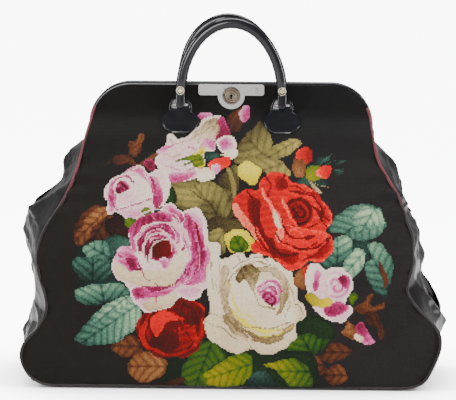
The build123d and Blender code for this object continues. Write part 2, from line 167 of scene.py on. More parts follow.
def weld(obj: bpy.types.Object, reach: float = 0.00002) -> None:
    """Merges points that lie on each other and drops faces with no area.

    Args:
        obj: The piece.
        reach: Points nearer than this are merged, in metres.
    """
    work = bmesh.new()
    work.from_mesh(obj.data)
    bmesh.ops.remove_doubles(work, verts=work.verts, dist=reach)
    bmesh.ops.dissolve_degenerate(work, edges=work.edges, dist=reach)
    work.to_mesh(obj.data)
    work.free()


def face_out(obj: bpy.types.Object) -> None:
    """Turns all faces of a closed piece outwards.

    Args:
        obj: The piece.
    """
    work = bmesh.new()
    work.from_mesh(obj.data)
    bmesh.ops.recalc_face_normals(work, faces=work.faces)
    work.to_mesh(obj.data)
    work.free()


def grid_faces(rows: int, columns: int, around: bool = False) -> np.ndarray:
    """Faces of a grid of points.

    Args:
        rows: Number of rows of points.
        columns: Number of points in a row.
        around: Join the last column to the first.

    Returns:
        Four corners per row.
    """
    wide = columns if around else columns - 1
    i, j = np.meshgrid(np.arange(rows - 1), np.arange(wide), indexing="ij")
    k = (j + 1) % columns
    corners = (i * columns + j, i * columns + k, (i + 1) * columns + k, (i + 1) * columns + j)
    return np.stack(corners, -1).reshape(-1, 4)


def slab_faces(rows: int, columns: int, first_in_back: bool) -> list[list[int]]:
    """Faces of two equal grids of points, one behind the other, joined round their edges.

    Args:
        rows: Number of rows of points in each grid.
        columns: Number of points in a row.
        first_in_back: Turn both grids round, for a first grid that faces away.

    Returns:
        The corners of each face, the first grid's points numbered before the second's.
    """
    faces, count = grid_faces(rows, columns), rows * columns
    ring = list(range(columns))
    ring += [r * columns + columns - 1 for r in range(1, rows)]
    ring += [(rows - 1) * columns + k for k in range(columns - 2, -1, -1)]
    ring += [r * columns for r in range(rows - 2, 0, -1)]
    sides = [[a, b, b + count, a + count] for a, b in zip(ring, ring[1:] + ring[:1])]
    first, second = (faces[:, ::-1], faces) if first_in_back else (faces, faces[:, ::-1])
    return first.tolist() + (second + count).tolist() + sides


def rounded_run(corners: list[Line], radii: Line, step: float, arc_points: int = 13) -> np.ndarray:
    """Rounds the corners of a run in the XZ plane and divides it evenly.

    Args:
        corners: Corner points as (x, z).
        radii: Radius at each inner corner.
        step: Distance between the points that come back.
        arc_points: Number of points on each rounded corner.

    Returns:
        Points as (x, z), one per row.
    """
    p = [np.array(c, float) for c in corners]
    line = [p[0]]
    for before, here, after, radius in zip(p, p[1:], p[2:], radii):
        a, b = (before - here), (after - here)
        a, b = a / np.linalg.norm(a), b / np.linalg.norm(b)
        half = 0.5 * math.acos(float(np.clip(a @ b, -1, 1)))
        middle = here + (a + b) / np.linalg.norm(a + b) * radius / math.sin(half)
        start, end = here + a * radius / math.tan(half), here + b * radius / math.tan(half)
        for t in np.linspace(0, 1, arc_points):
            ray = (1 - t) * (start - middle) + t * (end - middle)
            line.append(middle + ray / np.linalg.norm(ray) * radius)
    line.append(p[-1])
    line = np.array(line)
    far = np.concatenate([[0], np.cumsum(np.linalg.norm(np.diff(line, axis=0), axis=1))])
    at = np.linspace(0, far[-1], max(2, int(far[-1] / step)))
    return np.stack([np.interp(at, far, line[:, k]) for k in (0, 1)], 1)


def swept(
    name: str,
    path: np.ndarray,
    half_out: np.ndarray,
    half_deep: np.ndarray,
    finish: bpy.types.Material,
    square: float = 2.0,
    ring: int = 16,
) -> bpy.types.Object:
    """Sweeps a rounded section along a path, with closed ends.

    Args:
        name: Name of the piece.
        path: Centre line in millimetres, one point per row.
        half_out: Half size across the path, at right angles to Y, at each point.
        half_deep: Half size along Y at each point.
        finish: Material of the piece.
        square: 2 gives an ellipse, more gives a box with rounded edges.
        ring: Number of points round the section.

    Returns:
        The new object, whose texture runs round it and along it in millimetres.
    """
    deep = np.array((0.0, 1.0, 0.0))
    along = np.gradient(path, axis=0)
    along /= np.linalg.norm(along, axis=1)[:, None]
    out = np.cross(along, deep)
    out /= np.linalg.norm(out, axis=1)[:, None]
    in_plane = np.cross(out, along)
    a = np.linspace(0, 2 * math.pi, ring, endpoint=False)
    c = np.sign(np.cos(a)) * np.abs(np.cos(a)) ** (2 / square)
    s = np.sign(np.sin(a)) * np.abs(np.sin(a)) ** (2 / square)
    points = (
        path[:, None, :]
        + out[:, None, :] * (c[None, :] * np.asarray(half_out)[:, None])[..., None]
        + in_plane[:, None, :] * (s[None, :] * np.asarray(half_deep)[:, None])[..., None]
    )
    count = len(path)
    faces = grid_faces(count, ring, around=True).tolist()
    faces.append(list(range(ring))[::-1])
    faces.append([(count - 1) * ring + k for k in range(ring)])
    far = np.concatenate([[0], np.cumsum(np.linalg.norm(np.diff(path, axis=0), axis=1))])
    uv = np.stack(np.broadcast_arrays(a[None, :] / (2 * math.pi), far[:, None]), -1).reshape(-1, 2)
    obj = make_mesh(name, points.reshape(-1, 3), faces, finish, uv)
    face_out(obj)
    return obj


# ---------------------------------------------------------------- finishes


class Nodes:
    """Builds the node tree of one material."""

    def __init__(self, name: str) -> None:
        """Starts a material with a plain surface shader.

        Args:
            name: Name of the material.
        """
        self.material = bpy.data.materials.new(name)
        self.material.use_nodes = True
        self.tree = self.material.node_tree
        self.shader = self.tree.nodes["Principled BSDF"]
        place = self.tree.nodes.new("ShaderNodeTexCoord")
        self.place = place.outputs["Object"]
        self.uv = place.outputs["UV"]

    def new(self, kind: str, inputs: dict | None = None, **settings: object) -> bpy.types.Node:
        """Adds a node.

        Args:
            kind: Node type without its ShaderNode prefix.
            inputs: Values or sockets by input name or number.
            settings: Settings of the node itself.

        Returns:
            The new node.
        """
        node = self.tree.nodes.new("ShaderNode" + kind)
        for key, value in settings.items():
            setattr(node, key, value)
        for key, value in (inputs or {}).items():
            socket = node.inputs[key]
            if isinstance(value, bpy.types.NodeSocket):
                self.tree.links.new(value, socket)
            else:
                socket.default_value = value
        return node

    def math(self, operation: str, *values: object) -> bpy.types.NodeSocket:
        """Adds a sum and returns its result."""
        return self.new("Math", dict(enumerate(values)), operation=operation).outputs[0]

    def lumps(self, size: float, detail: float = 3.0, place: object = None) -> bpy.types.NodeSocket:
        """Noise whose lumps are about size millimetres wide."""
        inputs = {"Vector": place or self.place, "Scale": 1 / (size * MM), "Detail": detail}
        return self.new("TexNoise", inputs).outputs["Fac"]

    def shades(self, value: bpy.types.NodeSocket, *stops: tuple) -> bpy.types.NodeSocket:
        """Turns a value into a colour through stops of (place, colour).

        Args:
            value: The value that picks the colour.
            stops: The stops, lowest first.

        Returns:
            The colour socket.
        """
        ramp = self.new("ValToRGB", {"Fac": value})
        while len(ramp.color_ramp.elements) < len(stops):
            ramp.color_ramp.elements.new(0.5)
        for element, (at, colour) in zip(ramp.color_ramp.elements, stops):
            element.position = at
            element.color = (*colour, 1)
        return ramp.outputs["Color"]

    def span(self, value: bpy.types.NodeSocket, low: float, high: float) -> bpy.types.NodeSocket:
        """Maps 0 to 1 onto low to high."""
        inputs = {"Value": value, "To Min": low, "To Max": high}
        return self.new("MapRange", inputs).outputs["Result"]

    def bump(self, height: bpy.types.NodeSocket, depth: float, strength: float = 1.0) -> None:
        """Adds relief of a depth in millimetres on top of any that is there already.

        Args:
            height: The relief, from 0 to 1.
            depth: How deep it is.
            strength: How much of it shows.
        """
        node = self.new("Bump", {"Height": height, "Distance": depth * MM, "Strength": strength})
        before = self.shader.inputs["Normal"].links
        if before:
            self.tree.links.new(before[0].from_socket, node.inputs["Normal"])
        self.tree.links.new(node.outputs["Normal"], self.shader.inputs["Normal"])

    def set(self, **values: object) -> None:
        """Sets the shader's own sockets; an underscore in a name stands for a space.

        Args:
            values: Values, colours or sockets by name.
        """
        for key, value in values.items():
            socket = self.shader.inputs[key.replace("_", " ")]
            if isinstance(value, bpy.types.NodeSocket):
                self.tree.links.new(value, socket)
            elif isinstance(value, tuple) and len(value) == 3:
                socket.default_value = (*value, 1)
            else:
                socket.default_value = value


@dataclass(frozen=True)
class PatentLeather:
    """Glossy lacquered leather with a faint grain and dulled patches."""

    name: str = "patent leather"
    dark: Colour = (0.004, 0.004, 0.005)
    worn: Colour = (0.018, 0.015, 0.014)
    grain: float = 1.3
    crease: float = 16.0
    crease_depth: float = 0.5

    def make(self) -> bpy.types.Material:
        """Builds the material.

        Returns:
            The material.
        """
        n = Nodes(self.name)
        patches = n.lumps(34, 4)
        fine = n.lumps(self.grain, 2)
        creases = n.lumps(self.crease, 3)
        n.set(Base_Color=n.shades(patches, (0.42, self.dark), (0.75, self.worn)))
        n.set(Roughness=n.span(n.math("MULTIPLY", patches, fine), 0.12, 0.40))
        n.set(Coat_Weight=0.55, Coat_Roughness=0.06, IOR=1.45, Specular_IOR_Level=0.3)
        n.bump(creases, self.crease_depth, 0.7)
        n.bump(fine, 0.05, 0.35)
        return n.material


@dataclass(frozen=True)
class StitchedWool:
    """Tent stitches in coloured wool, each stitch lying across its own square of canvas."""

    name: str = "needlework wool"
    relief: float = 0.35

    def make(self) -> bpy.types.Material:
        """Builds the material.

        Returns:
            The material.
        """
        n = Nodes(self.name)
        colour = n.new("Attribute", attribute_name="Wool").outputs["Color"]
        cell = n.new("SeparateXYZ", {0: n.uv})
        across = n.math("FRACT", cell.outputs["X"])
        up = n.math("FRACT", cell.outputs["Y"])
        slant = n.math("ABSOLUTE", n.math("SUBTRACT", across, up))
        crown = n.math("SUBTRACT", 1.0, n.math("MINIMUM", n.math("MULTIPLY", slant, 1.5), 1.0))
        along = n.math("ABSOLUTE", n.math("SUBTRACT", n.math("ADD", across, up), 1.0))
        ends = n.math("SUBTRACT", 1.0, n.math("POWER", along, 3.0))
        loft = n.math("MULTIPLY", crown, ends)
        fuzz = n.lumps(0.5, 2)
        # The wool's colour is darkened where each stitch dips low: painted shade between the stitches, with
        # random fuzz in its tone.
        shade = n.math("ADD", n.math("MULTIPLY", loft, 0.30), n.span(fuzz, 0.72, 0.92))
        mixed = n.new("VectorMath", {0: colour, 1: shade}, operation="MULTIPLY")
        n.set(Base_Color=mixed.outputs[0], Roughness=0.88, Specular_IOR_Level=0.2)
        n.set(Sheen_Weight=0.12, Sheen_Roughness=0.5)
        n.bump(loft, self.relief, 0.8)
        n.bump(fuzz, 0.12, 0.5)
        return n.material


@dataclass(frozen=True)
class WovenCloth:
    """Plain or twill cloth with its threads, sheen and faded patches."""

    name: str
    dark: Colour
    light: Colour
    thread: float = 0.9
    roughness: float = 0.85
    sheen: float = 0.25

    def make(self) -> bpy.types.Material:
        """Builds the material.

        Returns:
            The material.
        """
        n = Nodes(self.name)
        inputs = {"Vector": n.place, "Scale": 0.05 / (self.thread * MM), "Distortion": 0.6, "Detail": 1.0}
        waves = [n.new("TexWave", inputs, bands_direction=axis).outputs["Fac"]
                 for axis in ("DIAGONAL", "Z")]
        weave = n.math("MULTIPLY", *waves)
        patches = n.lumps(45, 4)
        # The cloth's tone is lighter on the thread crowns and darker between the threads: painted shade, mixed
        # with faded patches at random.
        tone = n.math("ADD", n.math("MULTIPLY", weave, 0.35), n.math("MULTIPLY", patches, 0.65))
        n.set(Base_Color=n.shades(tone, (0.3, self.dark), (0.75, self.light)))
        n.set(Roughness=self.roughness, Sheen_Weight=self.sheen, Sheen_Roughness=0.45)
        n.bump(weave, 0.25, 0.6)
        n.bump(n.lumps(0.7, 2), 0.15, 0.4)
        return n.material


@dataclass(frozen=True)
class TwistedCord:
    """Cord of strands that wind round it, with the texture running along it."""

    name: str
    dark: Colour
    light: Colour
    lay: float = 5.0
    strands: float = 3.0
    dark_below: float = 0.0
    dark_fade: float = 45.0

    def make(self) -> bpy.types.Material:
        """Builds the material.

        Returns:
            The material.
        """
        n = Nodes(self.name)
        place = n.new("SeparateXYZ", {0: n.uv})
        turn = n.math("ADD", n.math("MULTIPLY", place.outputs["X"], self.strands),
                      n.math("MULTIPLY", place.outputs["Y"], self.strands / self.lay))
        wave = n.math("SINE", n.math("MULTIPLY", turn, 2 * math.pi))
        strand = n.math("ADD", n.math("MULTIPLY", wave, 0.5), 0.5)
        # The cord's tone follows the strands and is darker in the grooves between them: painted shade. The lumps
        # vary it at random.
        tone = n.math("MULTIPLY", strand, n.span(n.lumps(9, 3), 0.5, 1.4))
        # Below the set height the cord's tone fades to its dark shade, so it is darker towards the bottom.
        if self.dark_below:
            height = n.new("SeparateXYZ", {0: n.place}).outputs["Z"]
            inputs = {"Value": height, "From Min": (self.dark_below - self.dark_fade) * MM,
                      "From Max": self.dark_below * MM, "To Min": 0.0, "To Max": 1.0}
            height_fade = n.new("MapRange", inputs).outputs["Result"]
            tone = n.math("MULTIPLY", tone, height_fade)
        n.set(Base_Color=n.shades(tone, (0.0, self.dark), (0.8, self.light)))
        n.set(Roughness=0.6, Sheen_Weight=0.2, Sheen_Roughness=0.4)
        n.bump(strand, 0.7, 0.8)
        n.bump(n.lumps(0.4, 2), 0.1, 0.4)
        return n.material


@dataclass(frozen=True)
class OldMetal:
    """Plated or bare metal with fine scratches, dull spots and, if set, turned rings."""

    name: str
    bright: Colour
    dull: Colour
    roughness: float = 0.22
    ring_middle: Line | None = None
    ring_pitch: float = 1.6

    def make(self) -> bpy.types.Material:
        """Builds the material.

        Returns:
            The material.
        """
        n = Nodes(self.name)
        spots = n.lumps(5, 5)
        scratch = n.lumps(0.6, 3)
        n.set(Metallic=1.0, Base_Color=n.shades(spots, (0.26, self.dull), (0.42, self.bright)))
        n.set(Roughness=n.span(spots, self.roughness + 0.15, self.roughness))
        if self.ring_middle:
            away = n.new("VectorMath", {0: n.place, 1: tuple(v * MM for v in self.ring_middle)},
                         operation="SUBTRACT").outputs[0]
            flat = n.new("VectorMath", {0: away, 1: (1.0, 0.0, 1.0)}, operation="MULTIPLY").outputs[0]
            far = n.new("VectorMath", {0: flat}, operation="LENGTH").outputs["Value"]
            rings = n.math("SINE", n.math("MULTIPLY", far, 2 * math.pi / (self.ring_pitch * MM)))
            n.bump(rings, 0.25, 0.9)
        n.bump(scratch, 0.03, 0.5)
        n.bump(spots, 0.06, 0.5)
        return n.material


@dataclass(frozen=True)
class PressedBoard:
    """Brown board with fibres."""

    name: str = "pressed board"

    def make(self) -> bpy.types.Material:
        """Builds the material.

        Returns:
            The material.
        """
        n = Nodes(self.name)
        fibres = n.lumps(2.0, 5)
        n.set(Base_Color=n.shades(fibres, (0.3, (0.16, 0.11, 0.07)), (0.7, (0.30, 0.22, 0.14))))
        n.set(Roughness=0.9)
        n.bump(fibres, 0.15, 0.5)
        return n.material


@dataclass
class Finishes:
    """Every finish of the bag, made once."""

    leather: bpy.types.Material = field(default_factory=lambda: PatentLeather().make())
    strap: bpy.types.Material = field(default_factory=lambda: PatentLeather(
        "strap leather", (0.005, 0.005, 0.008), (0.02, 0.018, 0.02), 0.8, 9.0, 0.25).make())
    needlework: bpy.types.Material = field(default_factory=lambda: StitchedWool().make())
    back_cloth: bpy.types.Material = field(default_factory=lambda: WovenCloth(
        "black wool cloth", (0.010, 0.009, 0.008), (0.030, 0.026, 0.024), 1.1).make())
    lining: bpy.types.Material = field(default_factory=lambda: WovenCloth(
        "lining sateen", (0.07, 0.045, 0.035), (0.16, 0.11, 0.085), 0.5, 0.55, 0.3).make())
    piping: bpy.types.Material = field(default_factory=lambda: TwistedCord(
        "piping cord", (0.012, 0.004, 0.005), (0.30, 0.022, 0.045), dark_below=235.0).make())
    cord: bpy.types.Material = field(default_factory=lambda: TwistedCord(
        "core cord", (0.20, 0.13, 0.07), (0.5, 0.38, 0.22), 12.0).make())
    nickel: bpy.types.Material = field(default_factory=lambda: OldMetal(
        "nickel", (0.40, 0.39, 0.38), (0.22, 0.21, 0.19), 0.34).make())
    steel: bpy.types.Material = field(default_factory=lambda: OldMetal(
        "blued steel", (0.30, 0.30, 0.32), (0.10, 0.09, 0.08), 0.3).make())
    stud: bpy.types.Material = field(default_factory=lambda: OldMetal(
        "stud brass", (0.80, 0.70, 0.50), (0.40, 0.32, 0.2), 0.15).make())
    rosette: bpy.types.Material = field(default_factory=lambda: OldMetal(
        "dark rosette", (0.20, 0.16, 0.12), (0.03, 0.025, 0.022), 0.25, (0.0, 0.0, 312.5), 2.4).make())
    board: bpy.types.Material = field(default_factory=lambda: PressedBoard().make())


FINISHES = Finishes()


def bend(obj: bpy.types.Object, way: int, half: str, inward: float = 0.0) -> None:
    """Bakes a soft piece's placement into its points; the piece is not bent.

    Args:
        obj: The piece, part of the bag at its foot.
        way: -1 for the front, 1 for the back; not used.
        half: Body of the frame half that carries the piece's head; not used.
        inward: How far inside its wall the piece lies, in metres; not used.
    """
    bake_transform(obj)


def dress(node: str, finish: bpy.types.Material) -> None:
    """Gives a packed metal or hidden piece its finish.

    Args:
        node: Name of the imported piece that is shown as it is.
        finish: Its material.
    """
    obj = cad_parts[node]
    obj.data.materials.clear()
    obj.data.materials.append(finish)
    LOG.info("dressed %s", node)


# ---------------------------------------------------------------- the needlework


class Wool(Enum):
    """Families of wool, each from its deepest shade to its palest."""

    ROSE = ((0.34, 0.08, 0.15), (0.55, 0.17, 0.32), (0.76, 0.38, 0.56), (0.87, 0.66, 0.75), (0.94, 0.88, 0.84))
    RED = ((0.24, 0.05, 0.05), (0.46, 0.07, 0.06), (0.68, 0.09, 0.07), (0.84, 0.14, 0.10), (0.93, 0.60, 0.52))
    MADDER = ((0.20, 0.08, 0.04), (0.34, 0.10, 0.06), (0.46, 0.10, 0.06), (0.66, 0.10, 0.06), (0.84, 0.16, 0.09))
    IVORY = ((0.36, 0.31, 0.22), (0.60, 0.52, 0.40), (0.80, 0.73, 0.62), (0.90, 0.84, 0.74), (0.95, 0.92, 0.86))
    TEAL = ((0.10, 0.15, 0.13), (0.19, 0.28, 0.25), (0.33, 0.45, 0.40), (0.50, 0.61, 0.53), (0.74, 0.80, 0.68))
    GREEN = ((0.11, 0.16, 0.10), (0.19, 0.31, 0.15), (0.33, 0.43, 0.19), (0.49, 0.53, 0.19), (0.68, 0.62, 0.16))
    OLIVE = ((0.22, 0.19, 0.14), (0.37, 0.33, 0.22), (0.48, 0.45, 0.31), (0.60, 0.56, 0.39), (0.74, 0.69, 0.48))
    BROWN = ((0.15, 0.09, 0.07), (0.27, 0.16, 0.11), (0.40, 0.25, 0.17), (0.54, 0.38, 0.26), (0.70, 0.55, 0.41))
    GOLD = ((0.42, 0.36, 0.16), (0.62, 0.55, 0.22), (0.76, 0.70, 0.26), (0.86, 0.80, 0.36), (0.93, 0.88, 0.55))

    def shade(self, tone: np.ndarray) -> np.ndarray:
        """Colours between this wool's shades, from 0 at the deepest to 1 at the palest.

        Args:
            tone: The tones.

        Returns:
            Display colours, one per row.
        """
        palette = np.array(self.value)
        stops = np.linspace(0, 1, len(palette))
        return np.stack([np.interp(tone, stops, palette[:, k]) for k in range(3)], 1)


RIMS = {Wool.ROSE: 0.16, Wool.RED: 0.10, Wool.MADDER: 0.06, Wool.IVORY: -0.10, Wool.TEAL: -0.14,
        Wool.GREEN: -0.16, Wool.OLIVE: -0.12, Wool.BROWN: -0.12, Wool.GOLD: -0.08}


class Grain(Enum):
    """How the shades run inside one patch of the needlework."""

    PLAIN = 0
    VEINED = 1
    PETALS = 2
    STREAKED = 3


GREY_SHARES = (0.2126, 0.7152, 0.0722)
VEIN_PITCH = 9.5
PETAL_PITCH = 7.5


@dataclass(frozen=True)
class Patch:
    """One area of the needlework, in one family of wool.

    The outline is in millimetres on the panel as it hangs: across from its middle and up from its
    foot. The tone runs from first to last along the turn, where 0 points right and 90 points up.
    """

    wool: Wool
    first: float
    last: float
    turn: float
    outline: Line
    grain: Grain = Grain.PLAIN

    def pattern(self, x: np.ndarray, z: np.ndarray, here: np.ndarray, side: np.ndarray,
                middle: np.ndarray) -> np.ndarray:
        """Works out the patch's veins, petals or streaks.

        Args:
            x: Places across the panel.
            z: Places up the panel.
            here: How far each place lies along the patch's turn.
            side: How far each place lies beside the patch's middle line.
            middle: The middle of the patch.

        Returns:
            What each place adds to its tone.
        """
        if self.grain is Grain.VEINED:
            bend = 1.2 * np.sin(x / 7.0 + z / 9.0)
            vein = np.abs(np.sin((here + 0.8 * side + bend) * math.pi / VEIN_PITCH)) ** 0.6
            return 0.30 * (vein - 0.62) - 0.25 * ridge(side, 0, 1.2)
        if self.grain is Grain.PETALS:
            far = np.hypot(x - middle[0], (z - middle[1]) * 1.1)
            round_turn = np.arctan2(z - middle[1], x - middle[0])
            bend = 2.0 * np.sin(1.5 * round_turn + 0.1 * far)
            return 0.20 * np.sin(far * 2 * math.pi / PETAL_PITCH + bend)
        if self.grain is Grain.STREAKED:
            bend = 1.6 * np.sin(here / 9.0) + np.sin(x / 4.0 - z / 6.0)
            return 0.07 * np.sin(side * 2 * math.pi / PETAL_PITCH + bend)
        return np.zeros_like(x)

    def tones(self, x: np.ndarray, z: np.ndarray, curve: np.ndarray) -> np.ndarray:
        """Works out the tone of each stitch.

        Args:
            x: Places across the panel.
            z: Places up the panel.
            curve: The rounded outline.

        Returns:
            Tones from 0, deepest, to 1, palest.
        """
        a = math.radians(self.turn)
        way = np.array((math.cos(a), math.sin(a)))
        reach = curve @ way
        here = x * way[0] + z * way[1]
        t = (here - reach.min()) / (np.ptp(reach) + 1e-6)
        middle = curve.mean(0)
        side = np.abs(-(x - middle[0]) * way[1] + (z - middle[1]) * way[0])
        tone = self.first + (self.last - self.first) * ease(t, 0.0, 1.0)
        return tone + self.pattern(x, z, here, side, middle)


@dataclass(frozen=True)
class Thread:
    """A single line of stitches in one tone, such as a petal's edge or a stem."""

    wool: Wool
    tone: float
    width: float
    line: Line

    def near(self, x: np.ndarray, z: np.ndarray) -> np.ndarray:
        """Tells which stitches the line covers.

        Args:
            x: Places across the panel.
            z: Places up the panel.

        Returns:
            The numbers of the stitches within half a width of the line.
        """
        knots = np.array(self.line, float).reshape(-1, 2)
        at = np.linspace(0, len(knots) - 1, 12 * len(knots))
        steps = np.arange(len(knots))
        run = [smooth_line(tuple(zip(steps, knots[:, k])), at) for k in (0, 1)]
        reach = self.width + 1
        some = (x > run[0].min() - reach) & (x < run[0].max() + reach)
        some = np.flatnonzero(some & (z > run[1].min() - reach) & (z < run[1].max() + reach))
        away = np.hypot(x[some, None] - run[0], z[some, None] - run[1]).min(1)
        taper = 0.62 + 0.25 * np.sin((x[some] + z[some]) / 3.0)
        return some[away < self.width * taper]


@dataclass(frozen=True)
class Bouquet:
    """Works out the wool of every stitch of the front panel."""

    patches: tuple[Patch, ...]
    threads: tuple[Thread, ...]
    ground_left: Colour = (0.150, 0.128, 0.100)
    ground_right: Colour = (0.185, 0.168, 0.165)
    shades: int = 13
    richness: float = 1.22
    depth: float = 1.28
    rim_width: float = 2.4

    def paint(self, x: np.ndarray, z: np.ndarray) -> np.ndarray:
        """Gives each stitch a colour.

        Args:
            x: Stitch places across the panel, in millimetres.
            z: Stitch places up the panel, in millimetres.

        Returns:
            Linear colours, one per row.
        """
        draw = np.random.default_rng(11)
        fleck = draw.normal(0, 1, len(x))
        drift = np.sin(x / 23 + 1.3 * np.sin(z / 31)) * np.sin(z / 19 + 0.8)
        share = ease(x, -120, 120)[:, None]
        ground = np.array(self.ground_left) * (1 - share) + np.array(self.ground_right) * share
        # The ground gets darker towards the top of the panel: painted shade. Fleck and drift vary its tone at
        # random.
        colours = ground * ((1 + 0.05 * fleck + 0.06 * drift) * (1 - 0.45 * ease(z, 190, 310)))[:, None]
        wander = 0.9 * np.sin(x / 3.1 + z / 4.7), 0.9 * np.sin(z / 2.9 - x / 5.3)
        wx, wz = x + wander[0], z + wander[1]
        for patch in self.patches:
            curve = closed_curve(patch.outline)
            near = (wx > curve[:, 0].min()) & (wx < curve[:, 0].max())
            near &= (wz > curve[:, 1].min()) & (wz < curve[:, 1].max())
            near = np.flatnonzero(near)
            px, pz = wx[near, None], wz[near, None]
            (ax, az), (bx, bz) = curve.T, np.roll(curve, -1, 0).T
            cross = (az > pz) != (bz > pz)
            edge = ax + (pz - az) / np.where(bz == az, 1e-9, bz - az) * (bx - ax)
            inside = near[(np.sum(cross & (px < edge), 1) % 2) == 1]
            tone = patch.tones(x[inside], z[inside], curve)
            way = np.hypot(x[inside, None] - ax, z[inside, None] - az).min(1)
            tone = tone + RIMS[patch.wool] * ridge(way, 0, self.rim_width)
            tone = tone + 0.045 * fleck[inside] + 0.05 * drift[inside]
            tone = np.round(np.clip(tone, 0, 1) * self.shades) / self.shades
            colours[inside] = patch.wool.shade(tone)
        for thread in self.threads:
            covered = thread.near(wx, wz)
            tone = np.clip(thread.tone + 0.05 * fleck[covered], 0, 1)
            colours[covered] = 0.8 * thread.wool.shade(tone) + 0.2 * colours[covered]
        colours = np.clip(colours, 0, 1)
        light = np.where(colours < 0.04045, colours / 12.92, ((colours + 0.055) / 1.055) ** 2.4)
        grey = (light @ np.array(GREY_SHARES))[:, None]
        return np.clip(grey + (light - grey) * self.richness, 0.0008, 1) ** self.depth


